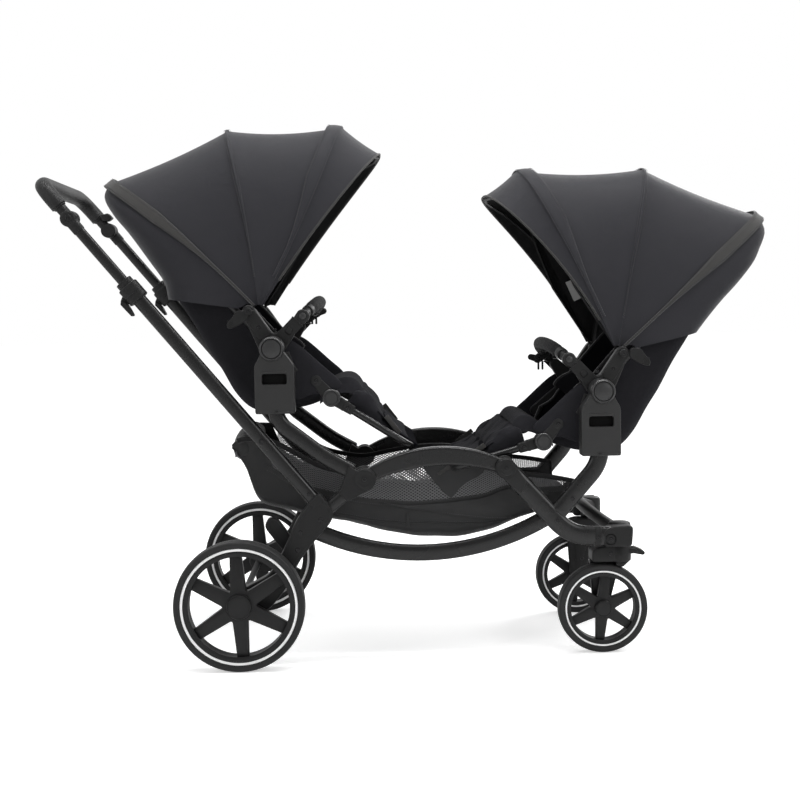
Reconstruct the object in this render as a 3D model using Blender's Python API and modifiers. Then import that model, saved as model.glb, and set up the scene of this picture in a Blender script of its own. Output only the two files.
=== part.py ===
"""Double stroller, two seats facing each other, as separate pieces in metres, +Z up, +X forward.

Every x below is measured forward from the rear axle, every z up from the floor, and y from the
middle plane. One empty, "stroller", carries all of it and centres the whole part over the origin.
"""
import math

import bmesh
import bpy
from mathutils import Matrix, Vector

for old in list(bpy.data.objects):
    bpy.data.objects.remove(old)

# Wheels
WHEELBASE = 0.789
REAR_RADIUS = 0.140
REAR_TRACK = 0.590
REAR_TYRE_WIDTH = 0.044
REAR_TYRE_BORE = 0.1165
REAR_RIM_INNER = 0.107
REAR_SPOKE_WIDTH = 0.024
REAR_HUB_RADIUS = 0.027
FRONT_RADIUS = 0.0985
FRONT_TYRE_WIDTH = 0.038
FRONT_TYRE_BORE = 0.0780
FRONT_RIM_INNER = 0.0705
FRONT_SPOKE_WIDTH = 0.018
FRONT_HUB_RADIUS = 0.019
SPOKES = 6
AXLE_RADIUS = 0.0075
STUB_RADIUS = 0.0055

# Clearances
SEAT_GAP = 0.0004
LAYER_GAP = 0.0006
TURN_GAP = 0.0006

# The side frames stand in three layers just inside the rear wheels, and the tubes fill the
# middle one; the castors stand a little further in
TUBE_DEPTH = 0.024
CHEEK_DEPTH = 0.013
ARC_DEPTH = 0.022
HOUSING_DEPTH = 0.034
AXLE_BOSS_STEP = 0.006
WHEEL_GAP = 0.010
CASTOR_INSET = 0.040
TUBE_PLANE = (REAR_TRACK / 2 - REAR_TYRE_WIDTH / 2 - WHEEL_GAP - AXLE_BOSS_STEP
              - HOUSING_DEPTH / 2)
FRONT_TRACK = 2 * (TUBE_PLANE - CASTOR_INSET)

# Castor: the front wheels trail behind the swivel, and the front frame is laid out back from it
TRAIL = 0.039
SWIVEL_X = WHEELBASE + TRAIL
SWIVEL_RADIUS = 0.025
SWIVEL_PIN_RADIUS = 0.008
FORK_BOTTOM = 2 * FRONT_RADIUS + 0.004
FORK_TOP = FORK_BOTTOM + 0.0375
HOUSING_BOTTOM = FORK_TOP + 0.001
HOUSING_TOP = HOUSING_BOTTOM + 0.0485

# Pivots of the four-bar side frame (x, z)
REAR_HINGE = (0.270, 0.400)
FRONT_HINGE = (SWIVEL_X - 0.253, 0.418)
ARC_REAR_PIVOT = (0.160, 0.284)
ARC_FRONT_PIVOT = (SWIVEL_X - 0.152, 0.308)
REAR_DISC_RADIUS = 0.0250
FRONT_DISC_RADIUS = 0.0232
HINGE_PIN_RADIUS = 0.006
EYE_INSET = 0.0015
BRAKE_PIVOT = (0.108, 0.243)
BRAKE_PIN_RADIUS = 0.005
BRAKE_PIN_DEPTH = 0.014

# Arch and lower arc
ARCH_RISE = 0.036
ARCH_WIDTH_MIDDLE = 0.041
ARCH_WIDTH_END = 0.029
ARC_SAG = 0.065
ARC_WIDTH = 0.036

# Handle: outer tubes, sliding inner tubes, tilting bar
HANDLE_FOOT = (0.172, 0.342)
HANDLE_COLLAR = (-0.231, 0.828)
HANDLE_RISE = 0.1794
HANDLE_TUBE_WIDTH = 0.0305
SLIDER_WIDTH = 0.0235
SLIDER_DEPTH = 0.0175
SLIDER_INSERT = 0.20
SLIDER_STROKE = 0.10
GRIP_LINE = (-0.410, 1.043)
HANDLE_BAR_RADIUS = 0.0125
GRIP_RADIUS = 0.0178
HANDLE_DISC_RADIUS = 0.0175

# Seat tubes, and the stub on top that the seat adapter slides down on
SEAT_TUBE_WIDTH = 0.034
FRONT_SEAT_TUBE_WIDTH = 0.038
STUB_HEIGHT = 0.052
STUB_BEND = 0.017

# Front tube
FRONT_TUBE_WIDTH = 0.042

# Seat units: hub on the adapter, then places measured from the hub, forward being the way the
# child faces
REAR_HUB = (0.078, 0.683)
FRONT_HUB = (SWIVEL_X - 0.043, 0.579)
ADAPTER_WIDTH = 0.085
ADAPTER_DROP = 0.139
ADAPTER_SHOULDER = 0.036
ADAPTER_DEPTH = 0.040
ADAPTER_OFFSET = 0.005
ADAPTER_STEP = 0.002
HUB_STEP = 0.005
HUB_RADIUS = 0.0265
BUTTON_RADIUS = 0.0205
BUTTON_TRAVEL = 0.004
BUTTON_DEPTH = 0.0095
BUTTON_WELL = 0.011
SEAT_PLATE_DEPTH = 0.025
SEAT_REACH = 0.388
SEAT_WALL = 0.012
KNEE_DEPTH = 0.0125
KNEE_START = (0.092, -0.072)
BUMPER_STEP = 0.058
STEM_WIDTH = 0.012
CANOPY_PIVOT = (-0.050, 0.080)
CANOPY_REACH = 1.188 * SEAT_REACH
CANOPY_GAP = 0.0029
CANOPY_WALL = 0.003
BOW_RADIUS = 0.0035
HOOP_INSET = 0.0269
HOOP_RADIUS = 0.0075
HOOP_FOOT = (-0.022, 0.020)
HOOP_TOP = (-0.740 * SEAT_REACH, 0.773 * SEAT_REACH)
LEG_HINGE = (0.124, -0.110)
LEG_LENGTH = 0.29 * (FRONT_HUB[0] - REAR_HUB[0])
LEG_DISC_RADIUS = 0.0195
LEG_TUBE_RADIUS = 0.0078
LEG_DEPTH = 0.016
BUMPER_ANGLE = math.radians(46)
BUMPER_REACH = 0.095
BUMPER_BOW = 0.040

# Basket
BASKET_REAR = -0.018
BASKET_FRONT = SWIVEL_X - 0.098
BASKET_FLOOR = 0.255
BASKET_RIM = 0.486
BASKET_WALL = 0.003
BASKET_GAP = 0.0124

# Fineness of round forms
STRUT_END_POINTS = 6
STEPS_REAR = 28
STEPS_FRONT = 20

PARTS = bpy.data.collections.new("double_stroller")
CUTTERS = bpy.data.collections.new("cutters")
bpy.context.scene.collection.children.link(PARTS)
bpy.context.scene.collection.children.link(CUTTERS)


# Materials
def material(name, colour, roughness, metallic=0.0):
    made = bpy.data.materials.new(name)
    made.use_nodes = True
    shader = made.node_tree.nodes["Principled BSDF"]
    shader.inputs["Base Color"].default_value = (*colour, 1.0)
    shader.inputs["Roughness"].default_value = roughness
    shader.inputs["Metallic"].default_value = metallic
    return made


TUBE_BLACK = material("satin_black_tube", (0.030, 0.030, 0.031), 0.36, 0.25)
MOULDED = material("moulded_plastic", (0.033, 0.033, 0.034), 0.55)
TYRE_RUBBER = material("tyre_rubber", (0.030, 0.030, 0.031), 0.75)
RIM_PLASTIC = material("rim_plastic", (0.030, 0.030, 0.032), 0.50)
STEEL = material("axle_steel", (0.45, 0.45, 0.46), 0.35, 1.0)
LEATHERETTE = material("leatherette", (0.022, 0.022, 0.023), 0.50)
CANVAS = material("charcoal_canvas", (0.032, 0.032, 0.040), 0.90)


# Shapes
def link_cutter(name, data):
    made = bpy.data.objects.new(name, data)
    made.hide_render = True
    made.display_type = "WIRE"
    CUTTERS.objects.link(made)
    return made


def baked(source):
    """The evaluated mesh of an object, welded, in world space, as a new plain mesh object."""
    graph = bpy.context.evaluated_depsgraph_get()
    graph.update()
    mesh = bpy.data.meshes.new_from_object(source.evaluated_get(graph))
    mesh.transform(source.matrix_world)
    solid = bmesh.new()
    solid.from_mesh(mesh)
    bmesh.ops.remove_doubles(solid, verts=solid.verts, dist=1e-6)
    bmesh.ops.recalc_face_normals(solid, faces=solid.faces)
    solid.to_mesh(mesh)
    solid.free()
    made = link_cutter(source.name, mesh)
    bpy.data.objects.remove(source)
    return made


def combine(target, other, operation):
    """Union, difference or intersection of two closed meshes; the second one is used up."""
    change = target.modifiers.new("join", "BOOLEAN")
    change.operation = operation
    change.object = other
    made = baked(target)
    bpy.data.objects.remove(other)
    return made


def union(target, *others):
    for other in others:
        target = combine(target, other, "UNION")
    return target


def cut(target, *others):
    for other in others:
        target = combine(target, other, "DIFFERENCE")
    return target


def disc(centre, radius, y_low, y_high, sides=16):
    """A cylinder across the stroller, about the point centre = (x, z)."""
    solid = bmesh.new()
    bmesh.ops.create_cone(solid, cap_ends=True, segments=sides, radius1=radius, radius2=radius,
                          depth=y_high - y_low)
    turn = Matrix.Rotation(math.radians(-90), 4, "X")
    place = Matrix.Translation((centre[0], (y_low + y_high) / 2, centre[1]))
    bmesh.ops.transform(solid, matrix=place @ turn, verts=solid.verts)
    mesh = bpy.data.meshes.new("disc")
    solid.to_mesh(mesh)
    solid.free()
    return link_cutter("disc", mesh)


def post(centre, radius, z_low, z_high, sides=16):
    """An upright cylinder about the point centre = (x, y)."""
    solid = bmesh.new()
    bmesh.ops.create_cone(solid, cap_ends=True, segments=sides, radius1=radius, radius2=radius,
                          depth=z_high - z_low)
    place = Matrix.Translation((centre[0], centre[1], (z_low + z_high) / 2))
    bmesh.ops.transform(solid, matrix=place, verts=solid.verts)
    mesh = bpy.data.meshes.new("post")
    solid.to_mesh(mesh)
    solid.free()
    return link_cutter("post", mesh)


def rounded(points, radius, steps=4):
    """A path through the points, its corners replaced by arcs that start radius before each."""
    points = [Vector(p) for p in points]
    path = [points[0]]
    for before, corner, after in zip(points, points[1:], points[2:]):
        reach = min(radius, (before - corner).length * 0.48, (after - corner).length * 0.48)
        start = corner + (before - corner).normalized() * reach
        end = corner + (after - corner).normalized() * reach
        for k in range(steps + 1):
            t = k / steps
            path.append(start * (1 - t) ** 2 + corner * 2 * t * (1 - t) + end * t * t)
    path.append(points[-1])
    return path


def arc_points(start, end, rise, count):
    """Points on a circular arc in the x-z plane whose middle stands rise above its chord."""
    start = Vector(start)
    end = Vector(end)
    chord = end - start
    half = chord.length / 2
    radius = (half * half + rise * rise) / (2 * abs(rise))
    up = Vector((-chord.y, chord.x)).normalized() * (1 if rise > 0 else -1)
    centre = (start + end) / 2 + up * (abs(rise) - radius)
    sweep = math.asin(half / radius)
    along = chord.normalized()
    return [centre + radius * (up * math.cos(a) + along * math.sin(a))
            for a in (sweep * (2 * k / (count - 1) - 1) for k in range(count))]


def tube(path, radius, sides=10, plane=None, depth=None):
    """A tube along the points; with a plane and a depth it is an oval, depth thick across y."""
    curve = bpy.data.curves.new("tube", "CURVE")
    curve.dimensions = "3D"
    curve.bevel_depth = radius
    curve.bevel_resolution = (sides - 4) // 2
    curve.use_fill_caps = True
    spline = curve.splines.new("POLY")
    spline.points.add(len(path) - 1)
    for point, place in zip(spline.points, path):
        point.co = (*place, 1.0)
    made = link_cutter("tube", curve)
    if depth is not None:
        squeeze = depth / (2 * radius)
        made.matrix_world = (Matrix.Translation((0, plane, 0)) @ Matrix.Diagonal((1, squeeze, 1, 1))
                             @ Matrix.Translation((0, -plane, 0)))
    return baked(made)


def side_tube(path_xz, width, depth, plane, radius=0.0, sides=10, steps=4):
    """An oval tube that stays in one side plane; the path is given as (x, z) points."""
    path = [Vector((p[0], plane, p[1])) for p in path_xz]
    if radius:
        path = rounded(path, radius, steps)
    return tube(path, width / 2, sides, plane, depth)


def plate(outline, y_low, y_high, edge=0.0):
    """A flat outline in (x, z), filled and given its thickness across y, its rims bevelled."""
    curve = bpy.data.curves.new("plate", "CURVE")
    curve.dimensions = "2D"
    curve.fill_mode = "BOTH"
    curve.extrude = (y_high - y_low) / 2
    spline = curve.splines.new("POLY")
    spline.points.add(len(outline) - 1)
    for point, place in zip(spline.points, outline):
        point.co = (place[0], place[1], 0.0, 1.0)
    spline.use_cyclic_u = True
    made = link_cutter("plate", curve)
    made.matrix_world = (Matrix.Translation((0, (y_low + y_high) / 2, 0))
                         @ Matrix.Rotation(math.radians(90), 4, "X"))
    made = baked(made)
    if edge:
        solid = bmesh.new()
        solid.from_mesh(made.data)
        bmesh.ops.dissolve_limit(solid, angle_limit=0.01, verts=solid.verts, edges=solid.edges)
        rims = [e for e in solid.edges
                if abs(e.verts[0].co.y - e.verts[1].co.y) < 1e-6]
        bmesh.ops.bevel(solid, geom=rims, offset=edge, segments=1, affect="EDGES",
                        clamp_overlap=True)
        solid.to_mesh(made.data)
        solid.free()
    return made


def round_corners(outline, radius, steps=1):
    """A closed outline with every corner rounded."""
    count = len(outline)
    path = []
    for k in range(count):
        before, corner, after = (Vector(outline[(k + j) % count]) for j in (-1, 0, 1))
        reach = min(radius, (before - corner).length * 0.45, (after - corner).length * 0.45)
        start = corner + (before - corner).normalized() * reach
        end = corner + (after - corner).normalized() * reach
        for step in range(steps + 1):
            t = step / steps
            path.append(start * (1 - t) ** 2 + corner * 2 * t * (1 - t) + end * t * t)
    return path


def bar_outline(path, widths, start_radius, end_radius):
    """The outline of a bar along a path, with its own width at each point and a round eye at
    each end."""
    path = [Vector(p) for p in path]
    left = []
    right = []
    for k in range(1, len(path) - 1):
        along = (path[k + 1] - path[k - 1]).normalized()
        side = Vector((-along.y, along.x)) * widths[k] / 2
        left.append(path[k] + side)
        right.append(path[k] - side)
    eyes = []
    for centre, toward, radius in ((path[-1], path[-2], end_radius), (path[0], path[1], start_radius)):
        away = (centre - toward).normalized()
        heading = math.atan2(away.y, away.x)
        eyes.append([centre + radius * Vector((math.cos(a), math.sin(a)))
                     for a in (heading + math.radians(112.5 - 37.5 * k) for k in range(7))])
    return left + eyes[0] + right[::-1] + eyes[1]


def strut(start, end, width_start, width_end=None):
    """The outline of a straight bar with round ends between two points."""
    start = Vector(start)
    end = Vector(end)
    width_end = width_start if width_end is None else width_end
    along = (end - start).normalized()
    heading = math.atan2(along.y, along.x)
    outline = []
    for centre, width, first in ((end, width_end, -90), (start, width_start, 90)):
        for k in range(STRUT_END_POINTS):
            a = heading + math.radians(first + 180 / (STRUT_END_POINTS - 1) * k)
            outline.append(centre + Vector((math.cos(a), math.sin(a))) * width / 2)
    return outline


def turned(profile, centre, steps, angle=0.0):
    """A closed profile of (radius, y) points turned about the axis across y at centre."""
    mesh = bpy.data.meshes.new("turned")
    points = [(r, 0.0, y) for r, y in profile]
    edges = [(k, (k + 1) % len(points)) for k in range(len(points))]
    mesh.from_pydata(points, edges, [])
    made = link_cutter("turned", mesh)
    spin = made.modifiers.new("turn", "SCREW")
    spin.axis = "Z"
    spin.angle = math.tau
    spin.steps = steps
    spin.render_steps = steps
    spin.use_merge_vertices = True
    spin.merge_threshold = 1e-5
    made.matrix_world = (Matrix.Translation((centre[0], centre[2], centre[1]))
                         @ Matrix.Rotation(math.radians(-90), 4, "X")
                         @ Matrix.Rotation(angle, 4, "Z"))
    return baked(made)


def grid_shell(rows, wall, offset=-1.0):
    """A surface through rows of points, given a wall by Solidify."""
    mesh = bpy.data.meshes.new("shell")
    across = len(rows[0])
    points = [tuple(p) for row in rows for p in row]
    faces = [(r * across + c, r * across + c + 1, (r + 1) * across + c + 1, (r + 1) * across + c)
             for r in range(len(rows) - 1) for c in range(across - 1)]
    mesh.from_pydata(points, [], faces)
    made = link_cutter("shell", mesh)
    thick = made.modifiers.new("wall", "SOLIDIFY")
    thick.thickness = wall
    thick.offset = offset
    thick.use_even_offset = True
    return baked(made)


def mirrored(source):
    """The other side's copy of a piece."""
    mesh = source.data.copy()
    mesh.transform(Matrix.Diagonal((1, -1, 1, 1)))
    mesh.flip_normals()
    return link_cutter(source.name, mesh)


# Bodies: an empty on each joint's axis carries the pieces that move with it
EMPTIES = {}


def body(name, place, parent=None):
    made = bpy.data.objects.new(name + "_axis", None)
    PARTS.objects.link(made)
    made.location = Vector(place) - (Vector(EMPTIES[parent][1]) if parent else Vector())
    if parent:
        made.parent = EMPTIES[parent][0]
    EMPTIES[name] = (made, tuple(place))


def finish(source, name, look, carrier):
    """Names a piece, gives it its material and hangs it on its body's empty."""
    CUTTERS.objects.unlink(source)
    PARTS.objects.link(source)
    source.name = name
    source.data.name = name
    source.hide_render = False
    source.display_type = "TEXTURED"
    source.data.materials.clear()
    source.data.materials.append(look)
    source.data.shade_smooth()
    source.data.set_sharp_from_angle(angle=math.radians(35))
    empty, place = EMPTIES[carrier]
    source.data.transform(Matrix.Translation(-Vector(place)))
    source.parent = empty
    return source


def finish_pair(source, name, look, carrier_right, carrier_left=None):
    """The right-hand piece as built, and its mirror image on the left."""
    other = mirrored(source)
    finish(source, name + "_right", look, carrier_right)
    finish(other, name + "_left", look, carrier_left or carrier_right)


def seat_point(hub, facing, place, y=0.0):
    """A place measured from a seat's hub, as a point of the stroller."""
    return Vector((hub[0] + facing * place[0], y, hub[1] + place[1]))


HANDLE_WAY = (Vector(HANDLE_COLLAR) - Vector(HANDLE_FOOT)).normalized()
HANDLE_SIDE = Vector((-HANDLE_WAY.y, HANDLE_WAY.x))
HANDLE_JOINT = Vector(HANDLE_COLLAR) + HANDLE_WAY * HANDLE_RISE

# The right-hand side is at negative y. The layers there, from outside in.
TUBE_OUT = -(TUBE_PLANE + TUBE_DEPTH / 2)
TUBE_IN = -(TUBE_PLANE - TUBE_DEPTH / 2)
CHEEK_OUT = (TUBE_OUT - LAYER_GAP - CHEEK_DEPTH, TUBE_OUT - LAYER_GAP)
CHEEK_IN = (TUBE_IN + LAYER_GAP, TUBE_IN + LAYER_GAP + CHEEK_DEPTH)
HOUSING_OUT = -(TUBE_PLANE + HOUSING_DEPTH / 2)
HOUSING_IN = -(TUBE_PLANE - HOUSING_DEPTH / 2)
ARC_PLANE = HOUSING_IN + LAYER_GAP + ARC_DEPTH / 2
ADAPTER_OUT = -(TUBE_PLANE + ADAPTER_DEPTH / 2) - ADAPTER_STEP
ADAPTER_IN = -(TUBE_PLANE - ADAPTER_DEPTH / 2) - ADAPTER_STEP
SEAT_OUT = ADAPTER_IN + LAYER_GAP
SEAT_IN = SEAT_OUT + SEAT_PLATE_DEPTH
STEM_OUT = SEAT_OUT + 0.008
STEM_IN = SEAT_IN - 0.008
CANOPY_HALF_WIDTH = -SEAT_IN - CANOPY_GAP
HOOP_HALF_WIDTH = -SEAT_IN - HOOP_INSET
SEAT_HALF_WIDTH = HOOP_HALF_WIDTH - HOOP_RADIUS - SEAT_WALL - CANOPY_WALL
BASKET_HALF_WIDTH = -(ARC_PLANE + ARC_DEPTH / 2) - BASKET_GAP

body("stroller", (0, 0, 0))
body("rear_frame", (0, 0, 0), "stroller")
body("arches", (REAR_HINGE[0], 0, REAR_HINGE[1]), "rear_frame")
body("front_frame", (FRONT_HINGE[0], 0, FRONT_HINGE[1]), "arches")
body("lower_arcs", (ARC_REAR_PIVOT[0], 0, ARC_REAR_PIVOT[1]), "rear_frame")
body("handle_slider", (HANDLE_COLLAR[0], 0, HANDLE_COLLAR[1]), "rear_frame")
body("handle_bar", (HANDLE_JOINT.x, 0, HANDLE_JOINT.y), "handle_slider")


# Wheels: a tyre with a rounded tread on a spoked moulded rim
def tyre(centre, plane, radius, bore, width, steps):
    half = width / 2
    wall = radius - bore
    profile = [(bore, -0.72 * half), (bore + 0.62 * wall, -half), (radius, -0.48 * half),
               (radius, 0.48 * half), (bore + 0.62 * wall, half), (bore, 0.72 * half)]
    return turned(profile, (*centre, plane), steps)


def rim(centre, plane, outer, inner, width, hub, spoke, axle, steps, outside):
    """Rim ring, hub and spokes; outside is the sign of y on which the closed hub cap lies."""
    half = width / 2
    ring = turned([(outer - SEAT_GAP, -0.70 * half), (outer - SEAT_GAP, 0.70 * half),
                   (inner, 0.60 * half), (inner, -0.60 * half)],
                  (*centre, plane), steps)
    made = disc(centre, hub, *sorted((plane - outside * 0.95 * half,
                                      plane + outside * (0.95 * half + 0.004))), 16)
    reach = (inner + outer) / 2
    for k in range(SPOKES):
        a = math.radians(93 + 360 / SPOKES * k)
        along = Vector((math.cos(a), math.sin(a)))
        side = Vector((-along.y, along.x))
        middle = Vector(centre)
        outline = [middle + along * 0.3 * hub + side * spoke * 0.45,
                   middle + along * 0.3 * hub - side * spoke * 0.45,
                   middle + along * reach - side * spoke * 0.54,
                   middle + along * reach + side * spoke * 0.54]
        made = union(made, plate(outline, plane - 0.30 * half, plane + 0.42 * half))
    made = union(made, ring)
    blind = plane + outside * 0.60 * half
    far = plane - outside * 2 * half
    return cut(made, disc(centre, axle + TURN_GAP, min(blind, far), max(blind, far), 10))


REAR_AXLE = (0.0, REAR_RADIUS)
FRONT_AXLE = (WHEELBASE, FRONT_RADIUS)
SWIVEL_Y = FRONT_TRACK / 2
for side, label in ((-1, "right"), (1, "left")):
    body("rear_wheel_" + label, (0, side * REAR_TRACK / 2, REAR_RADIUS), "rear_frame")
    body("fork_" + label, (SWIVEL_X, side * SWIVEL_Y, FORK_TOP), "front_frame")
    body("front_wheel_" + label, (WHEELBASE, side * SWIVEL_Y, FRONT_RADIUS), "fork_" + label)

finish_pair(tyre(REAR_AXLE, -REAR_TRACK / 2, REAR_RADIUS, REAR_TYRE_BORE, REAR_TYRE_WIDTH,
                 STEPS_REAR),
            "rear_tyre", TYRE_RUBBER, "rear_wheel_right", "rear_wheel_left")
finish_pair(rim(REAR_AXLE, -REAR_TRACK / 2, REAR_TYRE_BORE, REAR_RIM_INNER, REAR_TYRE_WIDTH,
                REAR_HUB_RADIUS, REAR_SPOKE_WIDTH, AXLE_RADIUS, STEPS_REAR, -1),
            "rear_rim", RIM_PLASTIC, "rear_wheel_right", "rear_wheel_left")
finish_pair(tyre(FRONT_AXLE, -SWIVEL_Y, FRONT_RADIUS, FRONT_TYRE_BORE, FRONT_TYRE_WIDTH,
                 STEPS_FRONT),
            "front_tyre", TYRE_RUBBER, "front_wheel_right", "front_wheel_left")
finish_pair(rim(FRONT_AXLE, -SWIVEL_Y, FRONT_TYRE_BORE, FRONT_RIM_INNER, FRONT_TYRE_WIDTH,
                FRONT_HUB_RADIUS, FRONT_SPOKE_WIDTH, STUB_RADIUS, STEPS_FRONT, -1),
            "front_rim", RIM_PLASTIC, "front_wheel_right", "front_wheel_left")


# Rear axle: one bar through both housings into the hubs
AXLE_END = REAR_TRACK / 2 + 0.60 * REAR_TYRE_WIDTH / 2 - 0.002
finish(disc(REAR_AXLE, AXLE_RADIUS, -AXLE_END, AXLE_END, 16), "rear_axle", STEEL, "rear_frame")


# Rear housing: the moulded leg that joins handle tube, hinge, lower arc and axle
LINK_FOOT = (0.185, 0.332)
HINGE_WAY = (Vector(REAR_HINGE) - Vector(LINK_FOOT)).normalized()


def rear_housing():
    leg = [(0.172, 0.371), (0.200, 0.338), (0.200, 0.312), (0.162, 0.269), (0.127, 0.226),
           (0.098, 0.165), (0.055, 0.116), (0.012, 0.112), (-0.024, 0.128), (-0.022, 0.156),
           (0.020, 0.176), (0.066, 0.200), (0.097, 0.262), (0.121, 0.313), (0.162, 0.366)]
    made = plate(round_corners(leg, 0.009), HOUSING_OUT, HOUSING_IN, 0.003)
    link_end = Vector(REAR_HINGE) - HINGE_WAY * (REAR_DISC_RADIUS + 0.003)
    made = union(made, side_tube([(0.180, 0.328), link_end], 0.027, TUBE_DEPTH, -TUBE_PLANE))
    cheek = [Vector(REAR_HINGE) + REAR_DISC_RADIUS * Vector((math.cos(a), math.sin(a)))
             for a in (math.radians(-70 + 25 * k) for k in range(9))]
    cheek += [Vector((0.240, 0.431)), Vector((0.216, 0.372)), Vector((0.232, 0.352))]
    for low, high in (CHEEK_OUT, CHEEK_IN):
        made = union(made, plate(cheek, low, high))
    pin_low = CHEEK_OUT[0] + 0.002
    made = union(made, disc(REAR_HINGE, HINGE_PIN_RADIUS, pin_low, CHEEK_IN[1] - 0.002, 8))
    # the link and the cheeks are joined through the middle layer below the hinge
    made = union(made, plate([(0.214, 0.372), (0.232, 0.353), (0.243, 0.363), (0.227, 0.385)],
                             CHEEK_OUT[0] + 0.003, CHEEK_IN[1] - 0.003))
    made = union(made, disc(ARC_REAR_PIVOT, HINGE_PIN_RADIUS, HOUSING_IN - 0.004,
                            HOUSING_IN + LAYER_GAP + ARC_DEPTH, 8))
    made = union(made, disc(REAR_AXLE, 0.022, HOUSING_OUT - AXLE_BOSS_STEP, HOUSING_IN - 0.002))
    made = cut(made, disc(BRAKE_PIVOT, BRAKE_PIN_RADIUS + TURN_GAP,
                          HOUSING_IN - BRAKE_PIN_DEPTH - TURN_GAP, HOUSING_IN + 0.01, 8))
    socket = Vector(HANDLE_FOOT) + HANDLE_WAY * 0.10
    made = cut(made, side_tube([Vector(HANDLE_FOOT) - HANDLE_WAY * SEAT_GAP, socket],
                               HANDLE_TUBE_WIDTH + 2 * SEAT_GAP, TUBE_DEPTH + 2 * SEAT_GAP,
                               -TUBE_PLANE))
    return cut(made, disc(REAR_AXLE, AXLE_RADIUS + SEAT_GAP, HOUSING_OUT - 0.02, HOUSING_IN + 0.02,
                          16))


finish_pair(rear_housing(), "rear_housing", MOULDED, "rear_frame")


# Handle tubes: oval outer tubes, hollow for the sliding inner ones
def outer_handle_tube():
    top = Vector(HANDLE_COLLAR)
    made = side_tube([HANDLE_FOOT, top], HANDLE_TUBE_WIDTH, TUBE_DEPTH, -TUBE_PLANE)
    depth = SLIDER_INSERT + SLIDER_STROKE + 0.01
    bore = side_tube([top - HANDLE_WAY * depth, top + HANDLE_WAY * 0.02],
                     SLIDER_WIDTH + 2 * TURN_GAP, SLIDER_DEPTH + 2 * TURN_GAP, -TUBE_PLANE)
    return cut(made, bore)


finish_pair(outer_handle_tube(), "handle_tube", TUBE_BLACK, "rear_frame")


# Telescope clamp: collar over the top of the outer tube, with a flip lever on its rear face
CLAMP_LENGTH = 0.048
CLAMP_WIDTH = 0.046
CLAMP_DEPTH = 0.036
LEVER_PIVOT = Vector(HANDLE_COLLAR) - HANDLE_WAY * 0.030 + HANDLE_SIDE * 0.030


def handle_clamp():
    top = Vector(HANDLE_COLLAR) + HANDLE_WAY * 0.004
    low = top - HANDLE_WAY * CLAMP_LENGTH
    made = side_tube([low, top], CLAMP_WIDTH, CLAMP_DEPTH, -TUBE_PLANE)
    ear = strut(Vector(HANDLE_COLLAR) - HANDLE_WAY * 0.030 + HANDLE_SIDE * 0.016, LEVER_PIVOT,
                0.016, 0.011)
    made = union(made, plate(ear, -TUBE_PLANE - 0.005, -TUBE_PLANE + 0.005))
    made = union(made, disc(LEVER_PIVOT, 0.0025, -TUBE_PLANE - 0.011, -TUBE_PLANE + 0.011, 8))
    tube_top = Vector(HANDLE_COLLAR) + HANDLE_WAY * SEAT_GAP
    made = cut(made, side_tube([low - HANDLE_WAY * 0.02, tube_top],
                               HANDLE_TUBE_WIDTH + 2 * SEAT_GAP, TUBE_DEPTH + 2 * SEAT_GAP,
                               -TUBE_PLANE))
    return cut(made, side_tube([low - HANDLE_WAY * 0.03, top + HANDLE_WAY * 0.02],
                               SLIDER_WIDTH + 2 * TURN_GAP, SLIDER_DEPTH + 2 * TURN_GAP,
                               -TUBE_PLANE))


def clamp_lever():
    tip = LEVER_PIVOT - HANDLE_WAY * 0.027 + HANDLE_SIDE * 0.001
    made = plate(strut(LEVER_PIVOT, tip, 0.010, 0.007), -TUBE_PLANE - 0.012, -TUBE_PLANE + 0.012)
    corners = ((0.009, 0.010), (0.009, -0.012), (-0.012, -0.012), (-0.012, 0.010))
    slot = [LEVER_PIVOT + HANDLE_SIDE * a + HANDLE_WAY * b for a, b in corners]
    made = cut(made, plate(slot, -TUBE_PLANE - 0.0056, -TUBE_PLANE + 0.0056))
    return cut(made, disc(LEVER_PIVOT, 0.0025 + TURN_GAP, -TUBE_PLANE - 0.02, -TUBE_PLANE + 0.02,
                          8))


for label, side in (("right", -1), ("left", 1)):
    body("clamp_lever_" + label, (LEVER_PIVOT.x, side * TUBE_PLANE, LEVER_PIVOT.y), "rear_frame")
finish_pair(handle_clamp(), "handle_clamp", MOULDED, "rear_frame")
finish_pair(clamp_lever(), "clamp_lever", MOULDED, "clamp_lever_right", "clamp_lever_left")


# Inner handle tubes, with the tilting joint's disc at the top
BAR_PLANE = TUBE_PLANE - SLIDER_DEPTH / 2 - LAYER_GAP - HANDLE_BAR_RADIUS


def handle_slider():
    low = Vector(HANDLE_COLLAR) - HANDLE_WAY * SLIDER_INSERT
    joint = HANDLE_JOINT
    made = side_tube([low, joint], SLIDER_WIDTH, SLIDER_DEPTH, -TUBE_PLANE)
    half = SLIDER_DEPTH / 2 + 0.0015
    made = union(made, disc(joint, HANDLE_DISC_RADIUS, -TUBE_PLANE - half,
                            -TUBE_PLANE + SLIDER_DEPTH / 2 + 0.0002, 20))
    return union(made, disc(joint, HINGE_PIN_RADIUS, -TUBE_PLANE,
                            -(BAR_PLANE - HANDLE_BAR_RADIUS), 12))


def handle_bar_path(start_gap):
    joint = Vector((HANDLE_JOINT.x, -BAR_PLANE, HANDLE_JOINT.y))
    corner = Vector((GRIP_LINE[0], -BAR_PLANE, GRIP_LINE[1]))
    first = joint + (corner - joint).normalized() * start_gap
    half = [first, corner]
    other = [Vector((p.x, -p.y, p.z)) for p in reversed(half)]
    return rounded(half + other, 0.050, 3)


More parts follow.
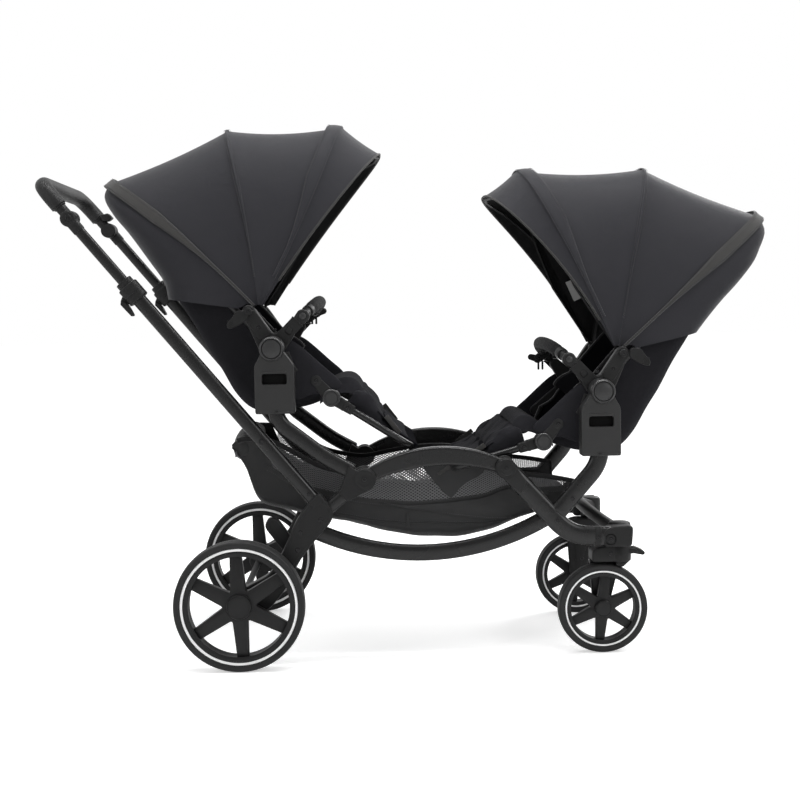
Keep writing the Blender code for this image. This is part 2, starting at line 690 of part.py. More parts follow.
def handle_bar():
    made = tube(handle_bar_path(0.0), HANDLE_BAR_RADIUS, 8)
    for plane in (-BAR_PLANE, BAR_PLANE):
        low = plane - HANDLE_BAR_RADIUS
        high = plane + HANDLE_BAR_RADIUS
        made = union(made, disc(HANDLE_JOINT, HANDLE_DISC_RADIUS, low, high, 20))
        made = cut(made, disc(HANDLE_JOINT, HINGE_PIN_RADIUS + TURN_GAP, low - 0.01, high + 0.01,
                              12))
    return made


def handle_grip():
    made = tube(handle_bar_path(0.034), GRIP_RADIUS, 10)
    return cut(made, tube(handle_bar_path(0.0), HANDLE_BAR_RADIUS + SEAT_GAP, 8))


finish_pair(handle_slider(), "handle_slider", TUBE_BLACK, "handle_slider")
finish(handle_bar(), "handle_bar", MOULDED, "handle_bar")
finish(handle_grip(), "handle_grip", LEATHERETTE, "handle_bar")


# Arches: moulded bows between the two hinges
def arch():
    count = 9
    path = arc_points(REAR_HINGE, FRONT_HINGE, ARCH_RISE, count)
    swell = ARCH_WIDTH_MIDDLE - ARCH_WIDTH_END
    widths = [ARCH_WIDTH_END + swell * math.sin(math.pi * k / (count - 1)) for k in range(count)]
    outline = bar_outline(path, widths, REAR_DISC_RADIUS - EYE_INSET, FRONT_DISC_RADIUS - EYE_INSET)
    made = plate(outline, TUBE_OUT, TUBE_IN, 0.003)
    for hinge in (REAR_HINGE, FRONT_HINGE):
        made = cut(made, disc(hinge, HINGE_PIN_RADIUS + TURN_GAP, TUBE_OUT - 0.01, TUBE_IN + 0.01,
                              8))
    return made


finish_pair(arch(), "arch", MOULDED, "arches")


# Lower arcs: the long bowed tubes under the basket, free at their front pivot
def lower_arc():
    path = arc_points(ARC_REAR_PIVOT, ARC_FRONT_PIVOT, -ARC_SAG, 11)
    low = ARC_PLANE - ARC_DEPTH / 2
    high = ARC_PLANE + ARC_DEPTH / 2
    eye = ARC_WIDTH / 2 - EYE_INSET
    made = plate(bar_outline(path, [ARC_WIDTH] * len(path), eye, eye), low, high, 0.006)
    return cut(made, disc(ARC_REAR_PIVOT, HINGE_PIN_RADIUS + TURN_GAP, low - 0.01, high + 0.01, 8))


finish_pair(lower_arc(), "lower_arc", TUBE_BLACK, "lower_arcs")


# Seat tubes on the rear frame, each with an upright stub for the adapter
REAR_STUB = (REAR_HUB[0] + ADAPTER_OFFSET, REAR_HUB[1] - ADAPTER_DROP)
FRONT_STUB = (FRONT_HUB[0] - ADAPTER_OFFSET, FRONT_HUB[1] - ADAPTER_DROP)


def rear_seat_tube():
    x, z = REAR_STUB
    path = [(x, z + STUB_HEIGHT), (x, z - STUB_BEND), (0.187, 0.446), (0.243, 0.415)]
    return side_tube(path, SEAT_TUBE_WIDTH, TUBE_DEPTH, -TUBE_PLANE, STUB_BEND - 0.002, steps=3)


finish_pair(rear_seat_tube(), "rear_seat_tube", TUBE_BLACK, "rear_frame")


# Front tube: cheeks at the hinge, a bend, and the moulded castor housing
FRONT_TUBE_PATH = [(FRONT_HINGE[0] + 0.019, 0.397), (SWIVEL_X - 0.115, 0.267),
                   (SWIVEL_X - 0.016, 0.262)]
FRONT_TUBE_BEND = 0.055


def front_tube():
    made = side_tube(FRONT_TUBE_PATH, FRONT_TUBE_WIDTH, TUBE_DEPTH, -TUBE_PLANE,
                     FRONT_TUBE_BEND)
    made = cut(made, disc(FRONT_HINGE, FRONT_DISC_RADIUS + 0.001, TUBE_OUT - 0.01, TUBE_IN + 0.01,
                          20))
    x = FRONT_HINGE[0]
    cheek = strut(FRONT_HINGE, (x + 0.025, 0.390), 2 * FRONT_DISC_RADIUS, 0.036)
    for low, high in (CHEEK_OUT, CHEEK_IN):
        made = union(made, plate(cheek, low, high))
    made = union(made, plate([(x + 0.017, 0.377), (x + 0.034, 0.397), (x + 0.047, 0.383),
                              (x + 0.031, 0.362)],
                             CHEEK_OUT[0] + 0.003, CHEEK_IN[1] - 0.003))
    made = union(made, disc(FRONT_HINGE, HINGE_PIN_RADIUS, CHEEK_OUT[0] + 0.002,
                            CHEEK_IN[1] - 0.002, 8))
    block = round_corners([(SWIVEL_X - 0.038, HOUSING_BOTTOM), (SWIVEL_X + 0.018, HOUSING_BOTTOM),
                           (SWIVEL_X + 0.022, HOUSING_TOP), (SWIVEL_X - 0.022, HOUSING_TOP - 0.004),
                           (SWIVEL_X - 0.042, HOUSING_TOP - 0.012)], 0.006)
    made = union(made, plate(block, TUBE_OUT, -SWIVEL_Y, 0.002))
    made = union(made, post((SWIVEL_X, -SWIVEL_Y), SWIVEL_RADIUS, HOUSING_BOTTOM, HOUSING_TOP))
    return cut(made, post((SWIVEL_X, -SWIVEL_Y), SWIVEL_PIN_RADIUS + TURN_GAP,
                          HOUSING_BOTTOM - 0.01, HOUSING_TOP - 0.012, 10))


def front_seat_tube():
    x, z = FRONT_STUB
    path = [(x, z + STUB_HEIGHT), (x, z - STUB_BEND), (SWIVEL_X - 0.142, 0.316)]
    made = side_tube(path, FRONT_SEAT_TUBE_WIDTH, TUBE_DEPTH, -TUBE_PLANE, STUB_BEND - 0.002,
                     steps=3)
    saddle = side_tube(FRONT_TUBE_PATH, FRONT_TUBE_WIDTH + 2 * SEAT_GAP, TUBE_DEPTH + 0.02,
                       -TUBE_PLANE, FRONT_TUBE_BEND)
    return cut(made, saddle)


finish_pair(front_tube(), "front_tube", TUBE_BLACK, "front_frame")
finish_pair(front_seat_tube(), "front_seat_tube", TUBE_BLACK, "front_frame")


# Cross member: a bowed bar between the two castor housings
def front_cross_member():
    end_y = SWIVEL_Y - 0.6 * SWIVEL_RADIUS
    count = 11
    path = [(SWIVEL_X - 0.052 * math.cos(math.pi / 2 * t) ** 0.8, end_y * t,
             0.268 + 0.030 * math.cos(math.pi / 2 * t))
            for t in (-1 + 2 * k / (count - 1) for k in range(count))]
    made = tube([Vector(p) for p in path], 0.012, 8)
    for side in (-1, 1):
        made = cut(made, post((SWIVEL_X, side * SWIVEL_Y), SWIVEL_RADIUS + SEAT_GAP,
                              HOUSING_BOTTOM - 0.02, HOUSING_TOP + 0.02))
    return made


finish(front_cross_member(), "front_cross_member", MOULDED, "front_frame")


LOCK_WIDTH = 0.026
LOCK_PIN_RADIUS = 0.002
LOCK_PIVOT = (SWIVEL_X + SWIVEL_RADIUS + 0.007, FORK_BOTTOM + 0.0235)


# Castor fork: a head under the housing, and one leg on the inner side of the wheel
LEG_PLANE = -(SWIVEL_Y - FRONT_TYRE_WIDTH / 2 - 0.003)


def fork():
    made = post((SWIVEL_X, -SWIVEL_Y), SWIVEL_RADIUS, FORK_BOTTOM, FORK_TOP)
    head = round_corners([(SWIVEL_X - 0.064, FORK_BOTTOM), (SWIVEL_X, FORK_BOTTOM),
                          (SWIVEL_X, FORK_TOP - 0.001), (SWIVEL_X - 0.056, FORK_TOP - 0.004)],
                         0.006)
    made = union(made, plate(head, -SWIVEL_Y - 0.020, LEG_PLANE + 0.012, 0.002))
    axle = WHEELBASE
    leg = round_corners([(SWIVEL_X - 0.062, FORK_TOP - 0.010), (SWIVEL_X + 0.010, FORK_TOP - 0.010),
                         (SWIVEL_X + 0.004, 0.190), (axle + 0.017, FRONT_RADIUS - 0.0065),
                         (axle + 0.001, FRONT_RADIUS - 0.0185), (axle - 0.015, FRONT_RADIUS - 0.0065),
                         (axle - 0.019, 0.150)], 0.010)
    made = union(made, plate(leg, LEG_PLANE, LEG_PLANE + 0.012, 0.002))
    made = union(made, post((SWIVEL_X, -SWIVEL_Y), SWIVEL_PIN_RADIUS, FORK_TOP - 0.002,
                            HOUSING_TOP - 0.014, 10))
    x, z = LOCK_PIVOT
    for side in (-1, 1):
        near = -SWIVEL_Y + side * (LOCK_WIDTH / 2 + LAYER_GAP)
        ear = [(x - 0.016, z - 0.005), (x + 0.003, z - 0.005), (x + 0.004, z + 0.001),
               (x - 0.001, z + 0.005), (x - 0.016, z + 0.005)]
        made = union(made, plate(ear, *sorted((near, near + side * 0.004))))
    made = union(made, disc(LOCK_PIVOT, LOCK_PIN_RADIUS, -SWIVEL_Y - LOCK_WIDTH / 2 - 0.002,
                            -SWIVEL_Y + LOCK_WIDTH / 2 + 0.002, 8))
    stub_end = -(SWIVEL_Y + 0.60 * FRONT_TYRE_WIDTH / 2 - 0.002)
    return union(made, disc(FRONT_AXLE, STUB_RADIUS, stub_end, LEG_PLANE + 0.002, 10))


finish_pair(fork(), "fork", MOULDED, "fork_right", "fork_left")


# Swivel lock: a short toe lever on the front of each fork head
def swivel_lock():
    x, z = LOCK_PIVOT
    nose = round_corners([(x - 0.0045, z - 0.0055), (x + 0.020, z - 0.010),
                          (x + 0.0225, z - 0.0025), (x, z + 0.0085), (x - 0.0045, z + 0.0045)],
                         0.003)
    made = plate(nose, -SWIVEL_Y - LOCK_WIDTH / 2, -SWIVEL_Y + LOCK_WIDTH / 2)
    return cut(made, disc(LOCK_PIVOT, LOCK_PIN_RADIUS + TURN_GAP, -SWIVEL_Y - 0.03,
                          -SWIVEL_Y + 0.03, 8))


for label, side in (("right", -1), ("left", 1)):
    body("swivel_lock_" + label, (LOCK_PIVOT[0], side * SWIVEL_Y, LOCK_PIVOT[1]), "fork_" + label)
finish_pair(swivel_lock(), "swivel_lock", MOULDED, "swivel_lock_right", "swivel_lock_left")


# Brake pedal: a foot plate whose pin turns in the inner side of the right-hand housing
PEDAL_TIP = (0.064, 0.305)
PEDAL_WIDTH = 0.027
PEDAL_DEPTH = 0.024


def brake_pedal():
    made = plate(strut(PEDAL_TIP, BRAKE_PIVOT, PEDAL_WIDTH), HOUSING_IN + LAYER_GAP,
                 HOUSING_IN + LAYER_GAP + PEDAL_DEPTH, 0.003)
    return union(made, disc(BRAKE_PIVOT, BRAKE_PIN_RADIUS, HOUSING_IN - BRAKE_PIN_DEPTH,
                            HOUSING_IN + 0.010, 8))


body("brake_pedal", (BRAKE_PIVOT[0], HOUSING_IN, BRAKE_PIVOT[1]), "rear_frame")
finish(brake_pedal(), "brake_pedal", MOULDED, "brake_pedal")


# Basket: a fabric hull between the side frames, open at the top
def basket():
    """Rows across the hull; each station is (share of length, share of depth at floor and rim)."""
    stations = [(0.0, 0.913, 1.0), (0.037, 0.714, 0.974), (0.080, 0.377, 0.931),
                (0.191, 0.273, 0.827), (0.311, 0.186, 0.680), (0.485, 0.048, 0.636),
                (0.607, 0.0, 0.619), (0.746, 0.056, 0.628), (0.882, 0.221, 0.636),
                (0.960, 0.290, 0.584), (1.0, 0.368, 0.532)]
    length = BASKET_FRONT - BASKET_REAR
    depth = BASKET_RIM - BASKET_FLOOR
    count = 13
    flat_share = 0.62
    rows = []
    for share, low, high in stations:
        row = []
        for k in range(count):
            v = -1 + 2 * k / (count - 1)
            y = BASKET_HALF_WIDTH * math.copysign(min(1.0, abs(v) / flat_share) ** 0.9, v)
            rise = max(0.0, (abs(v) - 0.50) / 0.50) ** 1.6
            row.append(Vector((BASKET_REAR + share * length, y,
                               BASKET_FLOOR + depth * (low + (high - low) * rise))))
        rows.append(row)
    return grid_shell(rows, BASKET_WALL, 1.0)


finish(basket(), "basket", CANVAS, "rear_frame")


# Seat units: the same unit twice, one facing forward and one facing back
def flip(outline, hub, facing):
    """An outline measured from the hub, placed and turned the way the seat faces."""
    made = [Vector((hub[0] + facing * p[0], hub[1] + p[1])) for p in outline]
    return made if facing > 0 else made[::-1]


def adapter(hub, facing):
    half = ADAPTER_WIDTH / 2
    rear = ADAPTER_OFFSET - half
    front = ADAPTER_OFFSET + half
    shape = [(rear, -ADAPTER_DROP), (front, -ADAPTER_DROP), (front, -ADAPTER_SHOULDER),
             (0.024, -0.006), (-0.022, -0.010), (rear, -ADAPTER_SHOULDER)]
    made = plate(round_corners(flip(shape, hub, facing), 0.003), ADAPTER_OUT, ADAPTER_IN, 0.0025)
    made = union(made, disc(hub, HUB_RADIUS, ADAPTER_OUT - HUB_STEP, ADAPTER_IN - 0.0005, 18))
    slot = flip([(-0.022, -0.076), (0.031, -0.076), (0.031, -0.048), (-0.022, -0.048)], hub, facing)
    made = cut(made, plate(round_corners(slot, 0.004), ADAPTER_OUT - 0.01, ADAPTER_OUT + 0.010))
    width = SEAT_TUBE_WIDTH if facing > 0 else FRONT_SEAT_TUBE_WIDTH
    x = hub[0] + facing * ADAPTER_OFFSET
    base = hub[1] - ADAPTER_DROP
    made = cut(made, side_tube([(x, base - 0.01), (x, base + STUB_HEIGHT + SEAT_GAP)],
                               width + 2 * SEAT_GAP, TUBE_DEPTH + 2 * SEAT_GAP, -TUBE_PLANE))
    well = ADAPTER_OUT - HUB_STEP + BUTTON_WELL
    return cut(made, disc(hub, BUTTON_RADIUS + TURN_GAP, ADAPTER_OUT - 0.02, well, 18))


def tilt_button(hub):
    rest = ADAPTER_OUT - HUB_STEP + BUTTON_WELL - BUTTON_TRAVEL - TURN_GAP
    return disc(hub, BUTTON_RADIUS, rest - BUTTON_DEPTH, rest, 18)


BOW_SQUARE = 3.2
BACK_SQUARE = 7.0
BOW_INSET = 0.008
REAR_SAG = 0.006
FRONT_SAG = 0.009


def star(tips, valley):
    """One outline for arms that spread from the hub, listed anticlockwise as (end, width)."""
    outline = []
    for k, (end, width) in enumerate(tips):
        end = Vector(end)
        heading = math.atan2(end.y, end.x)
        for step in (-90, -30, 30, 90):
            a = heading + math.radians(step)
            outline.append(end + Vector((math.cos(a), math.sin(a))) * width / 2)
        following = Vector(tips[(k + 1) % len(tips)][0])
        gap = (math.atan2(following.y, following.x) - heading) % math.tau
        a = heading + gap / 2
        outline.append(Vector((math.cos(a), math.sin(a))) * valley)
    return outline


def stem(gap):
    """The flat stem under each end of the bumper bar, which stands in a pocket of the arm."""
    reach = Vector((math.cos(BUMPER_ANGLE), math.sin(BUMPER_ANGLE)))
    side = Vector((-reach.y, reach.x)) * (STEM_WIDTH / 2 + gap)
    low = reach * (BUMPER_STEP - 0.012 - gap)
    high = reach * (BUMPER_STEP + 0.030)
    return [low + side, low - side, high - side, high + side]


def seat_frame(hub, facing):
    """Side plates with the canopy, bumper and leg-rest brackets, joined by the back hoop."""
    bumper_end = BUMPER_STEP * Vector((math.cos(BUMPER_ANGLE), math.sin(BUMPER_ANGLE)))
    arms = star([(bumper_end, 0.027), (CANOPY_PIVOT, 0.030), (KNEE_START, 0.024)], 0.028)
    knee = strut(KNEE_START, LEG_HINGE, 0.022, 0.030)
    pivot = seat_point(hub, facing, CANOPY_PIVOT)
    made = None
    for side in (-1, 1):
        half = plate(flip(arms, hub, facing), *sorted((-side * SEAT_OUT, -side * SEAT_IN)))
        half = union(half, plate(flip(knee, hub, facing),
                                 *sorted((-side * (SEAT_OUT + 0.0003),
                                          -side * (SEAT_OUT + KNEE_DEPTH)))))
        half = union(half, disc((pivot.x, pivot.z), 0.004,
                                *sorted((-side * (SEAT_IN - 0.004), -side * (SEAT_IN + 0.026))), 8))
        pocket = plate(flip(stem(0.0006), hub, facing), *sorted((-side * (STEM_OUT - 0.0005),
                                                                 -side * (STEM_IN + 0.0005))))
        half = cut(half, pocket)
        made = half if made is None else union(made, hoop(hub, facing), half)
    return made


def hoop(hub, facing):
    """The bent tube behind the back rest, let into the inner faces of the two side plates."""
    rooted = seat_point(hub, facing, HOOP_FOOT, -SEAT_OUT - 0.012)
    low = seat_point(hub, facing, HOOP_FOOT, HOOP_HALF_WIDTH)
    top = seat_point(hub, facing, HOOP_TOP, HOOP_HALF_WIDTH)
    half = [rooted, low, top]
    path = half + [Vector((p.x, -p.y, p.z)) for p in reversed(half)]
    return tube(rounded(path, 0.11, 3), HOOP_RADIUS, 6)


def bow_point(angle, radius, half_width, t, belly=0.0, square=BOW_SQUARE):
    """A point of a canopy bow: a squared-off arch that stands on the canopy's pivots.

    Across, y is half_width times cos(t), and out from the pivot the distance is radius times
    sin(t), both raised to 2 / square, so that a higher square has squarer shoulders; belly swings
    the foot of the bow forward of its top.
    """
    power = 2 / square
    y = half_width * math.copysign(abs(math.cos(t)) ** power, math.cos(t))
    out = radius * abs(math.sin(t)) ** power
    a = math.radians(angle) - math.radians(belly) * (1 - out / radius) ** 2
    return CANOPY_PIVOT[0] + out * math.cos(a), y, CANOPY_PIVOT[1] + out * math.sin(a)


# The front bow as (angle from straight ahead in degrees, radius at the top, lead of its foot)
FRONT_BOW = (63.5, CANOPY_REACH, 18.0)


def bow(hub, facing, shape, half_width, count=15):
    angle, radius, belly = shape
    path = []
    for k in range(count):
        t = math.pi * k / (count - 1)
        x, y, z = bow_point(angle, radius - BOW_INSET, half_width, t, belly)
        path.append(seat_point(hub, facing, (x, z), y))
    return path


def bow_piece(hub, facing, shape, half_width):
    path = bow(hub, facing, shape, half_width)
    made = tube(path, BOW_RADIUS, 4)
    pivot = seat_point(hub, facing, CANOPY_PIVOT)
    for side in (-1, 1):
        low = side * half_width - BOW_RADIUS
        high = side * half_width + BOW_RADIUS
        made = union(made, disc((pivot.x, pivot.z), 0.011, low, high, 12))
        made = cut(made, disc((pivot.x, pivot.z), 0.004 + TURN_GAP, low - 0.01, high + 0.01, 8))
    return made


def visor_point(visor, inset, half_width, t, lean):
    """A point of the visor's rim: from the front bow, lean of the way to the visor's own arch."""
    angle = FRONT_BOW[0] + (visor[0] - FRONT_BOW[0]) * lean
    radius = FRONT_BOW[1] + (visor[1] - FRONT_BOW[1]) * lean
    return bow_point(angle, radius - inset, half_width, t, FRONT_BOW[2])


def visor_wire(hub, facing, visor, half_width):
    """The wire round the edge of the visor; its ends run into the front bow."""
    path = []
    count = 11
    for k in range(count):
        share = k / (count - 1)
        t = math.pi * (0.17 + 0.66 * share)
        lean = math.sin(math.pi * share) ** 0.8
        x, y, z = visor_point(visor, BOW_INSET, half_width, t, lean)
        path.append(seat_point(hub, facing, (x, z), y))
    return tube(path, BOW_RADIUS * 0.9, 4)


def canopy_fabric(hub, facing, rear_bow, mid_bow, visor, back):
    """The hood: one curved sheet, up the back of the seat, over three bows and out to the visor.

    back lists the silhouette of the back panel from its foot up to the rear bow, each place as
    (angle in degrees, share of the canopy's reach), and the panel's shoulders are squarer the
    lower it goes.
    """
    count = 19
    first = 0.008
    spread = [math.pi * (first + (1 - 2 * first) * k / (count - 1)) for k in range(count)]
    pivot = seat_point(hub, facing, CANOPY_PIVOT)

    def row_of(places):
        return [seat_point(hub, facing, (x, z), y) for x, y, z in places]

    rows = []
    for k, (angle, share) in enumerate(back):
        square = BACK_SQUARE + (BOW_SQUARE - BACK_SQUARE) * k / len(back)
        radius = share * CANOPY_REACH
        rows.append(row_of(bow_point(angle, radius, CANOPY_HALF_WIDTH, t, 0.0, square)
                           for t in spread))
    for shape, sag in ((rear_bow, 0.0), (mid_bow, REAR_SAG), (FRONT_BOW, FRONT_SAG)):
        row = row_of(bow_point(shape[0], shape[1], CANOPY_HALF_WIDTH, t, shape[2]) for t in spread)
        if sag:
            middle = [a.lerp(b, 0.5) for a, b in zip(rows[-1], row)]
            keep = 1 - sag / shape[1]
            rows.append([Vector((pivot.x + (p.x - pivot.x) * keep, p.y,
                                 pivot.z + (p.z - pivot.z) * keep)) for p in middle])
        rows.append(row)
    leans = [max(0.02, math.sin(math.pi * min(1, max(0, (k / (count - 1) - 0.06) / 0.88))) ** 0.8)
             for k in range(count)]
    rows.append(row_of(visor_point(visor, 0.0, CANOPY_HALF_WIDTH, t, lean)
                       for t, lean in zip(spread, leans)))
    if facing < 0:
        rows = [row[::-1] for row in rows]
    return grid_shell(rows, CANOPY_WALL, -1.0)


def seat_fabric(hub, facing):
    """The bucket: back, seat and side walls as one U-shaped shell along the back's line.

    Each station is (x, z, height of the side wall) in shares of the seat's reach, and a share of
    its half width.
    """
    stations = [(-0.732, 0.644, 0.031, 0.84), (-0.608, 0.433, 0.155, 0.97),
                (-0.474, 0.211, 0.271, 1.0), (-0.314, -0.057, 0.340, 1.0),
                (-0.206, -0.242, 0.387, 1.0), (-0.103, -0.335, 0.412, 1.0),
                (0.052, -0.335, 0.374, 1.0), (0.180, -0.309, 0.258, 1.0),
                (0.268, -0.273, 0.129, 0.97)]
    line = [Vector(station[:2]) * SEAT_REACH for station in stations]
    count = 13
    rows = []
    for k, (_, _, height, narrow) in enumerate(stations):
        x, z = line[k]
        wall = height * SEAT_REACH
        along = (line[min(k + 1, len(line) - 1)] - line[max(k - 1, 0)]).normalized()
        nx, nz = -along.y, along.x
        half = SEAT_HALF_WIDTH * narrow
        row = []
        for j in range(count):
            v = -1 + 2 * j / (count - 1)
            across = half * math.copysign(min(1.0, abs(v) / 0.60) ** 0.85, v)
            rise = max(0.0, (abs(v) - 0.50) / 0.50) ** 1.5 * wall
            row.append(seat_point(hub, facing, (x + nx * rise, z + nz * rise), across))
        rows.append(row)
    if facing < 0:
        rows = [row[::-1] for row in rows]
    return grid_shell(rows, SEAT_WALL, 1.0)


def leg_rest(hub, facing, angle):
    """Two side tubes with hinge discs, a cross bar at the toes and the calf pad between."""
    a = math.radians(angle)
    along = Vector((math.cos(a), math.sin(a)))
    normal = Vector((-along.y, along.x))
    hinge = Vector(LEG_HINGE)

    def at(share, height):
        return hinge + along * share * LEG_LENGTH + normal * height

    plane = SEAT_OUT + KNEE_DEPTH + LAYER_GAP
    tube_plane = -(plane + LEG_DEPTH / 2)
    points = [seat_point(hub, facing, p, -tube_plane) for p in (hinge, at(1, 0))]
    other = [Vector((p.x, -p.y, p.z)) for p in reversed(points)]
    made = tube(rounded(points + other, 0.030, 2), LEG_TUBE_RADIUS, 8)
    for side in (-1, 1):
        low, high = sorted((-side * plane, -side * (plane + LEG_DEPTH)))
        place = seat_point(hub, facing, LEG_HINGE)
        made = union(made, disc((place.x, place.z), LEG_DISC_RADIUS, low, high))
        sleeve = [at(0.03, 0.0125), at(0.03, -0.0125), at(0.25, -0.0105), at(0.25, 0.0105)]
        made = union(made, plate(flip(sleeve, hub, facing), low + 0.0004, high - 0.0004))
    pad = [at(0.146, -0.002), at(1.02, -0.002), at(1.02, 0.010), at(0.655, 0.014),
           at(0.55, 0.028), at(0.366, 0.044), at(0.20, 0.052), at(0.146, 0.046)]
    wide = tube_plane - 0.004
    return union(made, plate(flip(pad, hub, facing), -wide, wide))


def bumper_bar(hub, facing):
    """The padded guard bar: round ends at the arms, a shallow bow between them."""
    reach = Vector((math.cos(BUMPER_ANGLE), math.sin(BUMPER_ANGLE)))
    end = reach * BUMPER_REACH
    plane = -(SEAT_OUT + SEAT_PLATE_DEPTH / 2)
    near = seat_point(hub, facing, end, -plane)
    bowed = []
    count = 11
    for k in range(count):
        s = -1 + 2 * k / (count - 1)
        push = BUMPER_BOW * (1 - abs(s) ** 2.6)
        place = end + reach * (0.002 + push)
        bowed.append(seat_point(hub, facing, place, plane * s))
    made = tube(bowed, 0.0125, 10)
    for side in (-1, 1):
        low, high = (SEAT_OUT, SEAT_IN) if side < 0 else (-SEAT_IN, -SEAT_OUT)
        shape = flip(strut(reach * (BUMPER_STEP + 0.0275), end, 0.026, 0.030), hub, facing)
        made = union(made, plate(shape, low, high))
        made = union(made, plate(flip(stem(0.0), hub, facing),
                                 *sorted((-side * STEM_OUT, -side * STEM_IN))))
    return made


def seat_unit(label, hub, facing, parent, leg_angle, bows, back):
    """One seat with its adapters; bows are (angle, share of the canopy's reach)."""
    rear_bow, mid_bow, visor = ((angle, share * CANOPY_REACH, 0.0) for angle, share in bows)
    mount = label + "_seat_mount"
    seat = label + "_seat"
    body(mount, (hub[0], 0, hub[1] - ADAPTER_DROP), parent)
    body(seat, (hub[0], 0, hub[1]), mount)
    for side, hand in ((-1, "right"), (1, "left")):
        body(label + "_tilt_button_" + hand, (hub[0], side * -ADAPTER_OUT, hub[1]), mount)
    leg = seat_point(hub, facing, LEG_HINGE)
    body(label + "_leg_rest", leg, seat)
    body(label + "_bumper_bar", seat_point(hub, facing, (0.066, 0.068)), seat)
    pivot = seat_point(hub, facing, CANOPY_PIVOT)
    body(label + "_canopy_mid", pivot, seat)
    body(label + "_canopy_front", pivot, label + "_canopy_mid")
    finish_pair(adapter(hub, facing), label + "_adapter", MOULDED, mount)
    finish_pair(tilt_button(hub), label + "_tilt_button", MOULDED, label + "_tilt_button_right",
                label + "_tilt_button_left")
    finish(seat_frame(hub, facing), label + "_seat_frame", MOULDED, seat)
    finish(seat_fabric(hub, facing), label + "_seat_fabric", CANVAS, seat)
    finish(leg_rest(hub, facing, leg_angle), label + "_leg_rest", TUBE_BLACK, label + "_leg_rest")
    finish(bumper_bar(hub, facing), label + "_bumper_bar", LEATHERETTE, label + "_bumper_bar")
    wide = CANOPY_HALF_WIDTH - CANOPY_WALL - 0.0005 - BOW_RADIUS
    finish(bow_piece(hub, facing, mid_bow, wide), label + "_canopy_mid_bow", TUBE_BLACK,
           label + "_canopy_mid")
    narrow = wide - 2 * BOW_RADIUS - LAYER_GAP
    front = union(bow_piece(hub, facing, FRONT_BOW, narrow),
                  visor_wire(hub, facing, visor, narrow))
    finish(front, label + "_canopy_front_bow", TUBE_BLACK, label + "_canopy_front")
    finish(canopy_fabric(hub, facing, rear_bow, mid_bow, visor, back), label + "_canopy_fabric",
           CANVAS, seat)


seat_unit("rear", REAR_HUB, 1, "rear_frame", -32.8,
          ((137.5, 0.946), (97.4, 0.894), (50.4, 0.987)),
          ((170.4, 0.393), (155.1, 0.547), (145.9, 0.759), (142.1, 0.911)))
seat_unit("front", FRONT_HUB, -1, "front_frame", -16.0,
          ((138.5, 0.994), (101.0, 0.911), (52.0, 0.983)),
          ((167.1, 0.410), (157.3, 0.588), (147.9, 0.848), (142.7, 0.968)))

# The whole part is centred over the origin
bpy.context.view_layer.update()
reach = [piece.matrix_world @ Vector(corner) for piece in PARTS.objects if piece.type == "MESH"
         for corner in piece.bound_box]
middle = (min(p.x for p in reach) + max(p.x for p in reach)) / 2
EMPTIES["stroller"][0].location.x = -middle
bpy.context.view_layer.update()
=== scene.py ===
import math

import bmesh
import bpy
import numpy as np
from mathutils import Matrix, Vector


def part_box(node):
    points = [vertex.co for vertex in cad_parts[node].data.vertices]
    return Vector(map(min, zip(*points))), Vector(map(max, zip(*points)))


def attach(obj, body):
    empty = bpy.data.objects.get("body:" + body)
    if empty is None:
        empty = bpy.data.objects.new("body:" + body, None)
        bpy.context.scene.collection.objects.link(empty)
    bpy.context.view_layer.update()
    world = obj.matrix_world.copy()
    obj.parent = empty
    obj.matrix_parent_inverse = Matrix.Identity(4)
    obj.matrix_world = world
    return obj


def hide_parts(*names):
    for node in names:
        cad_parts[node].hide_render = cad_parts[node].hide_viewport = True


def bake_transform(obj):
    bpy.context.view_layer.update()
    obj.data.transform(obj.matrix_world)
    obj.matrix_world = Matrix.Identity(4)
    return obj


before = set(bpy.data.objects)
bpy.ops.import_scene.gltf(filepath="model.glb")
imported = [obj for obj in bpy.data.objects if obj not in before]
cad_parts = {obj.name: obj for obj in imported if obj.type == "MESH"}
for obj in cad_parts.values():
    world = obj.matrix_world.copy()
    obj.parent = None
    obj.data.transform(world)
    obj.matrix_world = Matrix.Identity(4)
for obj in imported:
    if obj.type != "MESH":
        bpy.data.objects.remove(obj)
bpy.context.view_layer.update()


# Camera and room: the stroller is seen from its right-hand side, almost level, from three metres.
# Every x in this file is measured forward from the rear axle, so AXLE_X moves it into the frame.
axle_low, axle_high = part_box("rear_axle")
AXLE_X = (axle_low[0] + axle_high[0]) / 2

camera_turn, camera_dip, camera_roll = math.radians(1.27), math.radians(3.82), math.radians(-1.03)
look = Vector((math.sin(camera_turn) * math.cos(camera_dip),
               math.cos(camera_turn) * math.cos(camera_dip), -math.sin(camera_dip)))
across = Vector((math.cos(camera_turn), -math.sin(camera_turn), 0.0))
upward = across.cross(look)
level_x = across * math.cos(camera_roll) + upward * math.sin(camera_roll)
level_y = upward * math.cos(camera_roll) - across * math.sin(camera_roll)
camera = bpy.data.objects.new("camera", bpy.data.cameras.new("camera"))
camera.data.lens = 62.4
camera.data.sensor_width = 36.0
placed = Matrix((level_x, level_y, -look)).transposed().to_4x4()
placed.translation = (0.284 + AXLE_X, -3.213, 0.766)
camera.matrix_world = placed
bpy.context.scene.collection.objects.link(camera)
bpy.context.scene.camera = camera
bpy.context.scene.view_settings.view_transform = "Standard"

